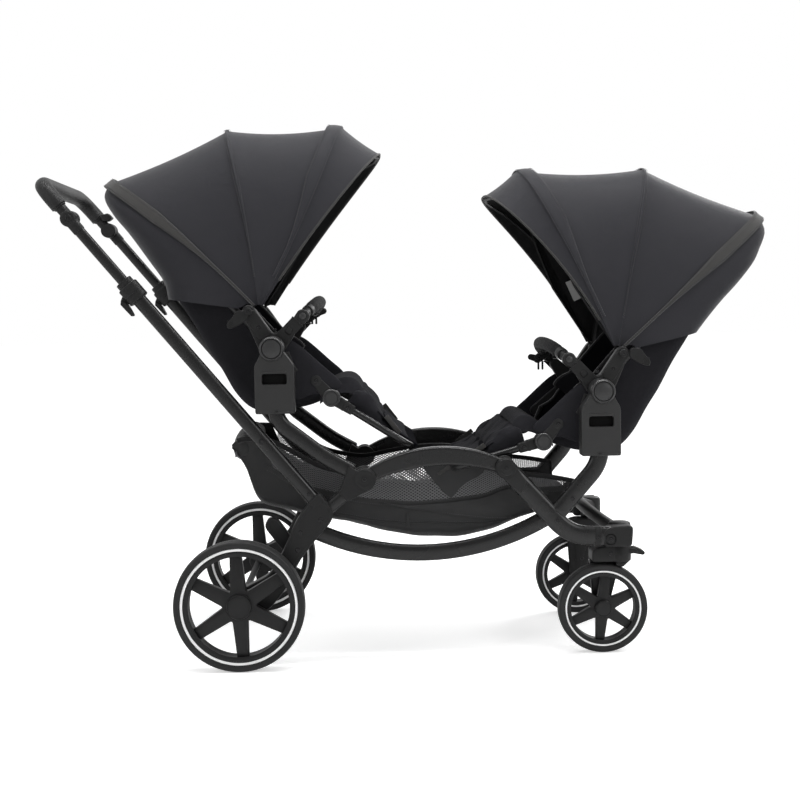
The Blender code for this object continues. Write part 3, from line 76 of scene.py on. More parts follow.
world = bpy.data.worlds.new("studio")
bpy.context.scene.world = world
world.use_nodes = True
sky = world.node_tree.nodes["Background"]
sky.inputs["Color"].default_value = (1.0, 1.0, 1.0, 1.0)
joins = world.node_tree.links.new
where = world.node_tree.nodes.new("ShaderNodeTexCoord")
parts = world.node_tree.nodes.new("ShaderNodeSeparateXYZ")
joins(where.outputs["Generated"], parts.inputs["Vector"])
behind = world.node_tree.nodes.new("ShaderNodeMapRange")
behind.interpolation_type = "SMOOTHSTEP"
for label, value in (("From Min", -0.7), ("From Max", 0.5), ("To Min", 0.38), ("To Max", 0.95)):
    behind.inputs[label].default_value = value
joins(parts.outputs["Y"], behind.inputs["Value"])
rays = world.node_tree.nodes.new("ShaderNodeLightPath")
level = world.node_tree.nodes.new("ShaderNodeMix")
level.inputs["B"].default_value = 1.0
joins(rays.outputs["Is Camera Ray"], level.inputs["Factor"])
joins(behind.outputs["Result"], level.inputs["A"])
joins(level.outputs["Result"], sky.inputs["Strength"])


def lamp(name, place, target, size, power, narrow=None):
    """A soft box at place that faces target: square, or size long and narrow wide."""
    made = bpy.data.objects.new(name, bpy.data.lights.new(name, "AREA"))
    made.data.shape = "RECTANGLE"
    made.data.size, made.data.size_y = size, narrow or size
    made.data.energy = power
    made.location = place
    made.rotation_euler = (Vector(target) - Vector(place)).to_track_quat("-Z", "Y").to_euler()
    bpy.context.scene.collection.objects.link(made)


lamp("soft_box_above", (0.5, -0.6, 3.0), (0.0, 0.0, 0.5), 2.2, 24)
lamp("strip_above", (0.0, -0.35, 2.6), (0.0, -0.2, 0.0), 3.2, 34, 0.16)
lamp("soft_box_right", (2.3, -2.4, 1.9), (0.0, 0.0, 0.6), 1.4, 26)
lamp("soft_box_left", (-2.6, -2.0, 1.5), (0.0, 0.0, 0.6), 1.4, 14)
lamp("strip_behind_right", (1.9, 2.3, 2.2), (0.0, 0.0, 0.5), 1.0, 34)

floor_mesh = bpy.data.meshes.new("floor")
floor_mesh.from_pydata([(-30, -30, 0), (30, -30, 0), (30, 30, 0), (-30, 30, 0)], [], [(0, 1, 2, 3)])
floor = bpy.data.objects.new("floor", floor_mesh)
bpy.context.scene.collection.objects.link(floor)
floor_look = bpy.data.materials.new("floor")
floor_look.use_nodes = True
floor_mesh.materials.append(floor_look)
floor_nodes = floor_look.node_tree.nodes
floor_shader = floor_nodes["Principled BSDF"]
floor_shader.inputs["Base Color"].default_value = (0.86, 0.86, 0.86, 1.0)
floor_shader.inputs["Roughness"].default_value = 0.9
floor_shader.inputs["Specular IOR Level"].default_value = 0.0
floor_rays = floor_nodes.new("ShaderNodeLightPath")
floor_glow = floor_nodes.new("ShaderNodeMath")
floor_glow.operation = "MULTIPLY"
floor_glow.inputs[1].default_value = 0.5
floor_shader.inputs["Emission Color"].default_value = (1.0, 1.0, 1.0, 1.0)
floor_look.node_tree.links.new(floor_rays.outputs["Is Camera Ray"], floor_glow.inputs[0])
floor_look.node_tree.links.new(floor_glow.outputs[0], floor_shader.inputs["Emission Strength"])


# Rear wheels: foamed rubber tyres with a ribbed tread on moulded six-spoke rims. A white ring is
# pressed into each face of the tyre, and a round cap snaps over the end of the axle.
REAR_CENTRE = (0.0, -0.295, 0.14)


def grid_faces(rows, columns, ring=False, loop=False):
    """Quads over rows x columns points and their uv, 0 to 1 each way, worked out as arrays.

    ring joins the last column to the first, loop joins the last row to the first.
    """
    r = np.arange(rows if loop else rows - 1)[:, None]
    c = np.arange(columns if ring else columns - 1)[None, :]
    r, c = [side.ravel() for side in np.broadcast_arrays(r, c)]
    below, beside = (r + 1) % rows, (c + 1) % columns
    quads = np.stack([r * columns + c, r * columns + beside, below * columns + beside,
                      below * columns + c], -1)
    high, wide = r.max() + 1, c.max() + 1
    uv = np.stack([c / wide, r / high, (c + 1) / wide, r / high,
                   (c + 1) / wide, (r + 1) / high, c / wide, (r + 1) / high], -1)
    return quads, uv.reshape(-1, 2)


def faced_out(mesh):
    """Merges doubled points and turns every face outwards."""
    solid = bmesh.new()
    solid.from_mesh(mesh)
    bmesh.ops.remove_doubles(solid, verts=solid.verts, dist=1e-6)
    bmesh.ops.recalc_face_normals(solid, faces=solid.faces)
    solid.to_mesh(mesh)
    solid.free()


def skin(name, points, faces, look, uv=None, closed=True, sharp=38.0):
    """A piece from an array of points, x measured from the axle, and lists of faces.

    uv holds one pair for each corner of the quads, which come first; caps after them get zeros.
    """
    mesh = bpy.data.meshes.new(name)
    placed = np.asarray(points, float).reshape(-1, 3) + (AXLE_X, 0.0, 0.0)
    mesh.from_pydata(placed.tolist(), [], [list(map(int, face)) for face in faces])
    if uv is not None:
        layer = mesh.uv_layers.new(name="lay")
        every = np.zeros((len(mesh.loops), 2), np.float32)
        every[:len(uv)] = uv
        layer.data.foreach_set("uv", every.ravel())
    made = bpy.data.objects.new(name, mesh)
    bpy.context.scene.collection.objects.link(made)
    mesh.materials.append(look)
    if closed:
        faced_out(mesh)
    mesh.shade_smooth()
    mesh.set_sharp_from_angle(angle=math.radians(sharp))
    return made


def capped(name, rings, look, sharp):
    """A closed piece from rings of points, with a flat cap on the first ring and on the last."""
    rows, columns = rings.shape[:2]
    quads, uv = grid_faces(rows, columns, ring=True)
    ends = np.arange(rows * columns).reshape(rows, columns)[[0, -1]]
    return skin(name, rings, quads.tolist() + ends.tolist(), look, uv, sharp=sharp)


def lathe(name, profile, centre, look, steps=96):
    """A profile of (radius, y) turned about the line across the stroller through centre.

    Point k of turn j is (cx + r_k cos a_j, cy + y_k, cz + r_k sin a_j), a_j = 2 pi j / steps. A
    profile that starts on the line is open, any other joins its last point to its first. A centre
    given as (x, z) has y 0.
    """
    x, face, z = centre if len(centre) == 3 else (centre[0], 0.0, centre[1])
    turn = np.arange(steps) * 2 * np.pi / steps
    radius, y = np.asarray(profile, float).T[..., None]
    points = np.stack([x + radius * np.cos(turn), face + y + 0 * turn, z + radius * np.sin(turn)], -1)
    faces, uv = grid_faces(len(profile), steps, ring=True, loop=radius[0, 0] > 0)
    return skin(name, points, faces, look, uv)


def rounded_loop(corners, radius, steps=4):
    """A closed outline with each corner replaced by a curve, all corners at once.

    From the points reach before and after a corner c the curve is a (1-t)^2 + 2 c t (1-t) + b t^2.
    """
    corners = np.asarray(corners, float)
    before, after = np.roll(corners, 1, 0) - corners, np.roll(corners, -1, 0) - corners
    long_before = np.linalg.norm(before, axis=1, keepdims=True)
    long_after = np.linalg.norm(after, axis=1, keepdims=True)
    radius = np.broadcast_to(np.asarray(radius, float), (len(corners),))[:, None]
    start = corners + before / long_before * np.minimum(radius, 0.45 * long_before)
    end = corners + after / long_after * np.minimum(radius, 0.45 * long_after)
    t = np.linspace(0, 1, steps + 1)[None, :, None]
    path = start[:, None] * (1 - t) ** 2 + corners[:, None] * 2 * t * (1 - t) + end[:, None] * t * t
    return path.reshape(-1, 2)


def slab(name, outline, low, high, edge, look, steps=3):
    """A plate of an (x, z) outline between y = low and high, its two rims rounded over.

    Each ring of the rim is the outline moved in along its own normals by edge (1 - sin a), and lies
    edge (1 - cos a) off the face it started from, for a from 0 to a right angle.
    """
    outline = np.asarray(outline, float)
    gap = np.linalg.norm(np.roll(outline, -1, 0) - outline, axis=1)
    outline = outline[gap > 1e-5]
    along = np.roll(outline, -1, 0) - outline
    along /= np.linalg.norm(along, axis=1, keepdims=True)
    back = np.roll(along, 1, 0)
    area = np.sum(outline[:, 0] * np.roll(outline[:, 1], -1) - outline[:, 1] * np.roll(outline[:, 0], -1))
    inward = np.sign(area) * (np.stack([-along[:, 1], along[:, 0]], -1)
                              + np.stack([-back[:, 1], back[:, 0]], -1))
    inward /= np.clip(1 + np.sum(along * back, 1, keepdims=True), 0.5, 2.0)
    a = np.linspace(0, np.pi / 2, steps + 1)
    inset = np.concatenate([edge * (1 - np.sin(a)), edge * (1 - np.sin(a[::-1]))])
    level = np.concatenate([low + edge * (1 - np.cos(a)), high - edge * (1 - np.cos(a[::-1]))])
    rings = outline[None] + inward[None] * inset[:, None, None]
    level = np.broadcast_to(level[:, None], rings.shape[:2])
    made = capped(name, np.stack([rings[..., 0], level, rings[..., 1]], -1), look, 80.0)
    made.modifiers.new("face_normals", "WEIGHTED_NORMAL").keep_sharp = True
    return made


def joined(name, pieces):
    """Several loose shells as one piece."""
    bpy.ops.object.select_all(action="DESELECT")
    for piece in pieces:
        piece.select_set(True)
    bpy.context.view_layer.objects.active = pieces[0]
    if len(pieces) > 1:
        bpy.ops.object.join()
    pieces[0].name = pieces[0].data.name = name
    return pieces[0]


def both_sides(piece, body, node=None):
    """The right-hand piece and its mirror image, each riding on its side's body.

    body and node may hold {} where the side's name goes.
    """
    mesh = piece.data.copy()
    mesh.transform(Matrix.Diagonal((1, -1, 1, 1)))
    mesh.flip_normals()
    other = bpy.data.objects.new(piece.name + "_left", mesh)
    bpy.context.scene.collection.objects.link(other)
    for old in piece.modifiers:
        other.modifiers.new(old.name, old.type).keep_sharp = True
    piece.name = piece.name + "_right"
    for made, side in ((piece, "right"), (other, "left")):
        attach(made, body.format(side))
        if node:
            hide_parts(node.format(side))
    return piece, other


def effect(name, inputs, outputs):
    """An empty shader node group with these sockets, each given as (name, type, value)."""
    group = bpy.data.node_groups.new(name, "ShaderNodeTree")
    for label, kind, value in inputs:
        socket = group.interface.new_socket(label, in_out="INPUT", socket_type="NodeSocket" + kind)
        socket.default_value = value
    for label, kind in outputs:
        group.interface.new_socket(label, in_out="OUTPUT", socket_type="NodeSocket" + kind)
    return group, group.nodes.new("NodeGroupInput"), group.nodes.new("NodeGroupOutput")


def feed(tree, target, values):
    """Gives each input of a node its value, or joins it to the socket given instead of one."""
    for key, value in values.items():
        if isinstance(value, bpy.types.NodeSocket):
            tree.links.new(value, target.inputs[key])
        else:
            target.inputs[key].default_value = value


def node(tree, kind, values=None, **settings):
    """A new node of a tree with its settings and its inputs, by name or number."""
    made = tree.nodes.new("ShaderNode" + kind)
    for key, value in settings.items():
        setattr(made, key, value)
    feed(tree, made, values or {})
    return made


# Moulded surfaces share a fine spark-eroded grain, a slow unevenness in gloss and a little dust
# that settles on what faces up.
grain, grain_in, grain_out = effect("moulded_grain", [("Colour", "Color", (0.02, 0.02, 0.02, 1)),
    ("Worn Colour", "Color", (0.05, 0.05, 0.05, 1)), ("Grain Scale", "Float", 900.0),
    ("Grain Depth", "Float", 0.25), ("Roughness", "Float", 0.5), ("Gloss Variation", "Float", 0.12),
    ("Dust", "Float", 0.15)], [("Colour", "Color"), ("Roughness", "Float"), ("Normal", "Vector")])
place = node(grain, "TexCoord").outputs["Object"]
fine = node(grain, "TexNoise", {"Detail": 3.0, "Roughness": 0.7, "Vector": place,
    "Scale": grain_in.outputs["Grain Scale"]})
bump = node(grain, "Bump", {"Distance": 0.0004, "Height": fine.outputs["Fac"],
    "Strength": grain_in.outputs["Grain Depth"]})
slow = node(grain, "TexNoise", {"Scale": 14.0, "Detail": 4.0, "Vector": place})
sway = node(grain, "MapRange", {"From Min": 0.3, "From Max": 0.7, "To Min": -0.5, "To Max": 0.5,
    "Value": slow.outputs["Fac"]})
spread = node(grain, "Math", {0: sway.outputs["Result"], 1: grain_in.outputs["Gloss Variation"],
    2: grain_in.outputs["Roughness"]}, operation="MULTIPLY_ADD")
lift = node(grain, "SeparateXYZ", {"Vector": node(grain, "NewGeometry").outputs["Normal"]})
settle = node(grain, "MapRange", {"From Min": 0.35, "From Max": 1.0, "Value": lift.outputs["Z"]})
patches = node(grain, "Math", {0: settle.outputs["Result"], 1: slow.outputs["Fac"]}, operation="MULTIPLY")
amount = node(grain, "Math", {0: patches.outputs[0], 1: grain_in.outputs["Dust"]}, operation="MULTIPLY")
tint = node(grain, "Mix", {"Factor": amount.outputs[0], "A": grain_in.outputs["Colour"],
    "B": grain_in.outputs["Worn Colour"]}, data_type="RGBA")
feed(grain, grain_out, {"Colour": tint.outputs["Result"], "Roughness": spread.outputs[0],
    "Normal": bump.outputs["Normal"]})


def material_of(name, group, values, plain):
    """A material whose colour, roughness and normal come from a group with this material's values."""
    made = bpy.data.materials.new(name)
    made.use_nodes = True
    tree = made.node_tree
    mixed = node(tree, "Group", values, node_tree=group)
    feed(tree, tree.nodes["Principled BSDF"], {**plain, "Base Color": mixed.outputs["Colour"],
        "Roughness": mixed.outputs["Roughness"], "Normal": mixed.outputs["Normal"]})
    return made


def finish_of(name, colour, roughness, metallic=0.0, worn=None, scale=900.0, depth=0.25, sway=0.12,
        dust=0.15, gloss=0.28):
    """A moulded or painted finish: the shared grain with this material's own values."""
    worn = worn or tuple(min(1.0, 2.2 * part + 0.01) for part in colour)
    values = {"Colour": (*colour, 1), "Worn Colour": (*worn, 1), "Grain Scale": scale, "Grain Depth": depth,
        "Roughness": roughness, "Gloss Variation": sway, "Dust": dust}
    return material_of(name, grain, values, {"Metallic": metallic, "Specular IOR Level": gloss})


rubber = finish_of("tyre_rubber", (0.0135, 0.0135, 0.0138), 0.56, scale=420.0, depth=0.35, sway=0.18,
    dust=0.3, gloss=0.32)
rim_plastic = finish_of("rim_plastic", (0.0094, 0.0094, 0.0097), 0.44, scale=1100.0, depth=0.15)
ring_white = finish_of("ring_white", (0.9, 0.9, 0.9), 0.3, worn=(0.7, 0.7, 0.68), depth=0.05)
moulded = finish_of("moulded_plastic", (0.0088, 0.0088, 0.009), 0.48, scale=1300.0, depth=0.28)
steel = finish_of("zinc_steel", (0.5, 0.5, 0.51), 0.34, metallic=1.0, worn=(0.3, 0.3, 0.3), depth=0.08,
    gloss=0.5)


def tyre(name, centre, radius, half, bore, ring_low, ring_high, ribs):
    """Tyre section as one closed profile, with ribs round the tread.

    The tread is a flat crown whose radius drops by depth in a row of narrow grooves; the walls are
    an ellipse from the crown down to the step that the white ring sits in.
    """
    a = np.linspace(0, np.pi / 2, 12)
    crown = 0.5 * half
    wall_r = ring_high + (radius - 0.0006 - ring_high) * np.sin(a) ** 0.8
    wall_y = crown + (half - crown) * np.where(a < 0.9, 0.86 + 0.14 * np.sin(a / 0.9 * np.pi / 2),
                                               1.0) * np.cos(np.maximum(0, a - 0.55) * 1.52) ** 0.62
    groove = np.linspace(-1, 1, 12 * ribs + 1)
    depth = 0.0011 * np.clip(1.6 * np.cos(np.pi * ribs * groove) - 0.9, 0, 0.7)
    tread = np.stack([radius - 0.0007 * groove ** 2 - depth, crown * 0.98 * groove], -1)
    outer = np.stack([wall_r, wall_y], -1)
    step = [(ring_high, 0.84 * half), (ring_high, 0.8 * half), (ring_low - 0.0012, 0.78 * half),
            (bore, 0.74 * half)]
    high_side = np.concatenate([step[::-1], outer[:-1]])
    low_side = high_side[::-1] * (1, -1)
    return lathe(name, np.concatenate([high_side, tread[::-1], low_side]), centre, rubber, 128)


def spots_of(mesh):
    """The points of a mesh as an array."""
    spots = np.zeros(len(mesh.vertices) * 3)
    mesh.vertices.foreach_get("co", spots)
    return spots.reshape(-1, 3)


def put_spots(mesh, spots):
    """Moves the points of a mesh to those of an array."""
    mesh.vertices.foreach_set("co", spots.ravel())
    mesh.update()


def wheel(name, centre, radius, half, bore, barrel, spoke, valley, hub, first_angle, body, tag):
    """Tyre, white rings, rim barrel, spokes and hub cap of the right-hand wheel, then both sides."""
    x, y, z = centre
    ring_low, ring_high = bore + 0.0028 * radius / 0.14, bore + 0.0086 * radius / 0.14
    rubber_part = tyre("tyre_" + name, centre, radius, half, bore, ring_low, ring_high, ribs=5)
    both_sides(rubber_part, body, tag + "_tyre_{}")
    rings = []
    for side in (-1, 1):
        band = [(ring_low, side * 0.785 * half), (ring_low, side * 0.845 * half),
                (ring_low + 0.0009, side * 0.88 * half), (ring_high - 0.0009, side * 0.88 * half),
                (ring_high - 0.0002, side * 0.845 * half), (ring_high - 0.0002, side * 0.785 * half)]
        rings.append(lathe("ring", band, centre, ring_white, 128))
    both_sides(joined("ring_" + name, rings), body)
    lip = bore - 0.0004
    section = [(lip, -0.72 * half), (lip + 0.0022, -0.8 * half), (lip + 0.002, -0.86 * half),
               (lip - 0.001, -0.89 * half), (barrel + 0.0035, -0.86 * half), (barrel, -0.78 * half),
               (barrel + 0.0012, -0.4 * half), (barrel + 0.0012, 0.4 * half),
               (barrel, 0.78 * half), (barrel + 0.0035, 0.86 * half), (lip - 0.001, 0.89 * half),
               (lip + 0.002, 0.86 * half), (lip + 0.0022, 0.8 * half), (lip, 0.72 * half)]
    shells = [lathe("barrel", section, centre, rim_plastic, 128)]
    angles = np.radians(first_angle + 60.0 * np.arange(6))
    away = np.stack([np.cos(angles), np.sin(angles)], -1)
    aside = np.stack([-away[:, 1], away[:, 0]], -1)
    between = np.stack([np.cos(angles + np.pi / 6), np.sin(angles + np.pi / 6)], -1)
    end = barrel + 0.004
    corners = np.stack([away * end - aside * spoke / 2, away * end + aside * spoke / 2,
                        between * valley], 1).reshape(-1, 2) + (x, z)
    outline = rounded_loop(corners, np.tile([0.0045, 0.0045, 0.007 * radius / 0.14], 6), 5)
    spider = slab("spider", outline, y - 0.36 * half, y + 0.4 * half, 0.0022, rim_plastic)
    spots = spots_of(spider.data)
    reach = np.hypot(spots[:, 0] - AXLE_X - x, spots[:, 2] - z)
    dish = 0.26 * half * (1 - np.clip(reach / end, 0, 1)) ** 1.2
    spots[:, 1] += np.where(spots[:, 1] < y, -1.0, 1.0) * dish
    put_spots(spider.data, spots)
    shells.append(spider)
    face = -(0.95 * half + 0.0036)
    cap = [(0.0, face), (hub * 0.82, face + 0.0004), (hub * 0.845, face + 0.001),
           (hub * 0.87, face + 0.0004), (hub * 0.95, face + 0.001), (hub, face + 0.0035),
           (hub * 1.02, -0.4 * half), (hub * 1.25, -0.34 * half), (hub * 1.25, 0.38 * half),
           (hub * 0.98, 0.46 * half), (hub * 0.86, 0.93 * half), (0.0, 0.93 * half)]
    shells.append(lathe("hub", cap, centre, rim_plastic, 64))
    both_sides(joined("rim_" + name, shells), body, tag + "_rim_{}")


wheel("rear", REAR_CENTRE, radius=0.14, half=0.022, bore=0.1165, barrel=0.1075, spoke=0.0255, valley=0.0335,
    hub=0.0265, first_angle=93.0, body="rear_wheel_{}", tag="rear")

# Front castor wheels: the same pattern, smaller, on a stub axle.
wheel("front", (0.789, -0.2, 0.0985), radius=0.0985, half=0.019, bore=0.078, barrel=0.0708, spoke=0.0185,
    valley=0.0255, hub=0.0185, first_angle=85.0, body="front_wheel_{}", tag="front")

# Rear housings: two moulded legs hold the black bar of the rear axle. Each is a thick moulding,
# screwed together from two shells, that takes the handle tube, the hinge and the lower arc.
TUBE_PLANE = -0.24
CHEEKS = ((-0.2656, -0.2526), (-0.2274, -0.2144))
HINGE_REAR, HINGE_FRONT = (0.27, 0.4), (0.575, 0.418)


def flow(points, count):
    """A smooth path through points: cubic spans whose slope at each point joins its neighbours.

    Each span is p0 h00 + m0 h10 + p1 h01 + m1 h11 with the Hermite weights of the share along it.
    """
    points = np.asarray(points, float)
    slope = np.gradient(points, axis=0)
    s = np.linspace(0, len(points) - 1, count)
    k = np.minimum(s.astype(int), len(points) - 2)
    t = (s - k)[:, None]
    return ((2 * t ** 3 - 3 * t ** 2 + 1) * points[k] + (t ** 3 - 2 * t ** 2 + t) * slope[k]
            + (3 * t ** 2 - 2 * t ** 3) * points[k + 1] + (t ** 3 - t ** 2) * slope[k + 1])


def oval(deep, wide, power=2.0, steps=32):
    """A superellipse section: half deep across and half wide up, squarer with a higher power."""
    a = np.arange(steps) * 2 * np.pi / steps
    c, s = np.cos(a), np.sin(a)
    return np.stack([deep / 2 * np.sign(c) * np.abs(c) ** (2 / power),
                     wide / 2 * np.sign(s) * np.abs(s) ** (2 / power)], -1)


def headings(path):
    """Unit vectors along a path, one at each of its points."""
    way = np.gradient(np.asarray(path, float), axis=0)
    return way / np.linalg.norm(way, axis=1, keepdims=True)


def rod(name, path, section, look, across=(0, 1, 0), scale=None, ends=0.0015):
    """A closed bar: a section carried along a path, its two ends rounded over by ends.

    At each point the section's first axis lies along across and its second at right angles to the
    path, and both are multiplied by scale; the last rings shrink as cos a while they move sin a.
    """
    path = np.asarray(path, float)
    heading = headings(path)
    side = np.asarray(across, float) - heading * (heading @ np.asarray(across, float))[:, None]
    side /= np.linalg.norm(side, axis=1, keepdims=True)
    rise = np.cross(heading, side)
    scale = np.ones((len(path), 2)) if scale is None else np.asarray(scale, float)
    rings = (path[:, None] + section[None, :, :1] * scale[:, None, :1] * side[:, None]
             + section[None, :, 1:] * scale[:, None, 1:] * rise[:, None])
    a = np.array([0.35, 0.75, 1.15, np.pi / 2 - 1e-3])[:, None, None]
    shrink = 1 - (1 - np.cos(a)) * min(1.0, ends / np.abs(section).max(0).min())
    first = path[0] + (rings[0] - path[0])[None] * shrink - heading[0] * ends * np.sin(a)
    last = path[-1] + (rings[-1] - path[-1])[None] * shrink + heading[-1] * ends * np.sin(a)
    return capped(name, np.concatenate([first[::-1], rings, last]), look, 50.0)


def in_plane(points, y=TUBE_PLANE):
    """Points given as (x, z) in the plane y, or else in the middle plane of the side tubes."""
    points = np.asarray(points, float)
    return np.stack([points[:, 0], np.full(len(points), y), points[:, 1]], -1)


def screw(place, face, radius=0.0042, side=-1):
    """A countersunk socket screw at (x, z): a ring, a dished head and a six-sided hole."""
    a = np.arange(24) * 2 * np.pi / 24
    hexagon = 1 / np.cos((a + np.pi / 6) % (np.pi / 3) - np.pi / 6)
    profile = [(1.25, 0.4, 0), (1.2, -0.35, 0), (1.02, -0.5, 0), (0.97, 0.2, 0), (0.9, 0.15, 0),
        (0.55, 0.0, 0.5), (0.42, 0.05, 1), (0.4, 1.6, 1), (0.0, 1.7, 1)]
    ring, depth, facet = np.array(profile).T[..., None]
    reach = radius * ring * (1 + facet * (hexagon - 1))
    points = np.stack([place[0] + reach * np.cos(a), face - side * depth * 0.0011 + 0 * reach,
                       place[1] + reach * np.sin(a)], -1)
    faces, uv = grid_faces(len(profile), 24, ring=True)
    return skin("screw", points, faces, fastener, uv, closed=False)


fastener = finish_of("black_fastener", (0.016, 0.016, 0.017), 0.26, metallic=0.55, depth=0.05, gloss=0.5)
painted = finish_of("satin_tube_paint", (0.0092, 0.0092, 0.0094), 0.27, metallic=0.3, scale=2200.0,
    depth=0.1, sway=0.1, gloss=0.55)

housing_outline = rounded_loop([(0.1735, 0.372), (0.2005, 0.3375), (0.2005, 0.312), (0.162, 0.269),
    (0.1275, 0.226), (0.098, 0.165), (0.055, 0.116), (0.012, 0.112), (-0.024, 0.128), (-0.022, 0.156),
    (0.02, 0.176), (0.068, 0.2), (0.099, 0.262), (0.121, 0.313), (0.16, 0.364)], [0.009, 0.016, 0.016,
    0.012, 0.02, 0.03, 0.02, 0.014, 0.014, 0.014, 0.02, 0.03, 0.02, 0.02, 0.01], 6)
seam_outline = rounded_loop([(0.17, 0.362), (0.1935, 0.335), (0.1935, 0.314), (0.156, 0.271),
    (0.1215, 0.228), (0.104, 0.196), (0.09, 0.214), (0.106, 0.262), (0.127, 0.311)], [0.006, 0.014, 0.014,
    0.012, 0.01, 0.01, 0.01, 0.02, 0.02], 5)
leg = slab("leg", housing_outline, -0.257, -0.223, 0.0042, moulded, 4)
panel = slab("panel", seam_outline, -0.2578, -0.25, 0.0016, moulded)
collar = slab("collar", rounded_loop([(0.148, 0.35), (0.16, 0.3365), (0.1845, 0.357), (0.1725, 0.371)],
    0.004), -0.2585, -0.2215, 0.0025, moulded)
boss = lathe("boss", [(0.0, -0.263), (0.017, -0.263), (0.0205, -0.2605), (0.022, -0.256), (0.022, -0.226),
    (0.0, -0.226)], REAR_CENTRE[::2], moulded, 48)
rib = slab("rib", rounded_loop([(0.112, 0.262), (0.126, 0.252), (0.14, 0.29), (0.152, 0.318), (0.14, 0.322),
    (0.124, 0.292)], 0.005), -0.2254, -0.2216, 0.001, moulded)
link_way = np.array(HINGE_REAR) - (0.185, 0.332)
link_way /= np.linalg.norm(link_way)
link_end = np.array(HINGE_REAR) - link_way * 0.02
shin = rod("link", in_plane(np.linspace((0.178, 0.326), link_end, 12)), oval(0.0236, 0.0275, 2.7), painted)
turn = np.radians(np.linspace(-70, 130, 28))
cheek_outline = np.concatenate([
    np.stack([HINGE_REAR[0] + 0.025 * np.cos(turn), HINGE_REAR[1] + 0.025 * np.sin(turn)], -1),
    [(0.238, 0.43), (0.2155, 0.373), (0.232, 0.3525)]])
cheeks = [slab("cheek", cheek_outline, low, high, 0.0022, moulded) for low, high in CHEEKS]
bridge = slab("bridge", [(0.213, 0.373), (0.2325, 0.352), (0.244, 0.362), (0.226, 0.387)], -0.26, -0.22,
    0.001, moulded)


def hinge_cap(place, radius, face):
    """The flat cover pressed into a hinge, with a rounded rim, a shallow ring and its screw."""
    rim = lathe("cover", [(0.0, -0.0006), (0.35 * radius, -0.0006), (0.4 * radius, -0.0002),
        (0.62 * radius, -0.0004), (0.66 * radius, -0.0012), (0.86 * radius, -0.0012),
        (0.9 * radius, -0.0002), (0.9 * radius, 0.002), (0.0, 0.002)], (place[0], face, place[1]), moulded,
        64)
    return [rim, screw(place, face - 0.0007, 0.0036)]


legs = joined("leg_rear", [leg, panel, collar, boss, rib, bridge, *cheeks, *hinge_cap(HINGE_REAR, 0.025,
    -0.2656)])
both_sides(legs, "rear_frame", "rear_housing_{}")
both_sides(shin, "rear_frame", None)
both_sides(joined("leg_screws", [screw(at, -0.258) for at in ((0.174, 0.313), (0.124, 0.25), (0.101, 0.215),
    (0.131, 0.287))] + [screw(REAR_CENTRE[::2], -0.2632, 0.006)]), "rear_frame")

# Brake pedal: a long foot plate on the inner side of the right leg, with a rubbed toe pad.
pedal = slab("pedal", rounded_loop([(0.05, 0.296), (0.06, 0.3165), (0.08, 0.312), (0.1215, 0.253),
    (0.118, 0.232), (0.098, 0.231)], 0.012, 6), -0.222, -0.199, 0.0034, moulded, 4)
pad_ribs = [rod("rib", [(0.061 + 0.0085 * k, -0.219, 0.3105 - 0.0125 * k), (0.061 + 0.0085 * k, -0.202,
    0.3105 - 0.0125 * k)], oval(0.002, 0.004, 2.0, 12), moulded, across=(0.83, 0, 0.56), ends=0.0008)
    for k in range(3)]
pedal = joined("brake_pedal_plate", [pedal, *pad_ribs])
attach(pedal, "brake_pedal")
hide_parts("brake_pedal")


# Handle: an oval outer tube on each side runs up to a moulded clamp, where the inner tube slides.
# Both are drawn aluminium, painted satin black; a flip lever on the clamp's rear side locks them.
FOOT, COLLAR = np.array((0.172, 0.342)), np.array((-0.231, 0.828))
handle_way = (COLLAR - FOOT) / np.linalg.norm(COLLAR - FOOT)
handle_side = np.array((-handle_way[1], handle_way[0]))
outer_tube = rod("handle_outer", in_plane(np.linspace(FOOT + handle_way * 0.004, COLLAR, 24)),
    oval(0.024, 0.0305, 2.7, 40), painted)
both_sides(outer_tube, "rear_frame", "handle_tube_{}")
both_sides(joined("handle_bolts", [screw((0.052, 0.485), -0.2522, 0.0052), screw((0.15, 0.369), -0.2522,
    0.0036)]), "rear_frame")


def along_handle(places):
    """Points measured up the handle tube from the collar and out from its rear side."""
    places = np.asarray(places, float)
    return COLLAR + places[:, :1] * handle_way + places[:, 1:] * handle_side


clamp_body = rod("clamp", in_plane(along_handle([(-0.044, 0), (-0.04, 0), (-0.03, 0), (-0.014, 0),
    (-0.01, 0)])), oval(0.0355, 0.0455, 3.0, 48), moulded, ends=0.003)
clamp_neck = rod("neck", in_plane(along_handle([(-0.012, 0), (-0.004, 0), (0.002, 0), (0.0035, 0)])),
    oval(0.03, 0.037, 2.6, 48), moulded, ends=0.002)
clamp_ear = slab("ear", rounded_loop(along_handle([(-0.016, 0.018), (-0.0245, 0.0345), (-0.0355, 0.0345),
    (-0.04, 0.018)]), 0.005), -0.245, -0.235, 0.0015, moulded)
clamp_line = rod("line", in_plane(along_handle([(-0.029, 0), (-0.028, 0)])), oval(0.0362, 0.0462, 3.0, 48),
    fastener, ends=0.0006)
both_sides(joined("clamp_body", [clamp_body, clamp_neck, clamp_ear, clamp_line]), "rear_frame",
    "handle_clamp_{}")
lever = slab("clamp_flip", rounded_loop(along_handle([(-0.0235, 0.029), (-0.029, 0.0365), (-0.064, 0.035),
    (-0.065, 0.03), (-0.05, 0.0265), (-0.036, 0.0245)]), 0.003, 5), -0.252, -0.228, 0.0016, moulded)
both_sides(lever, "clamp_lever_{}", "clamp_lever_{}")

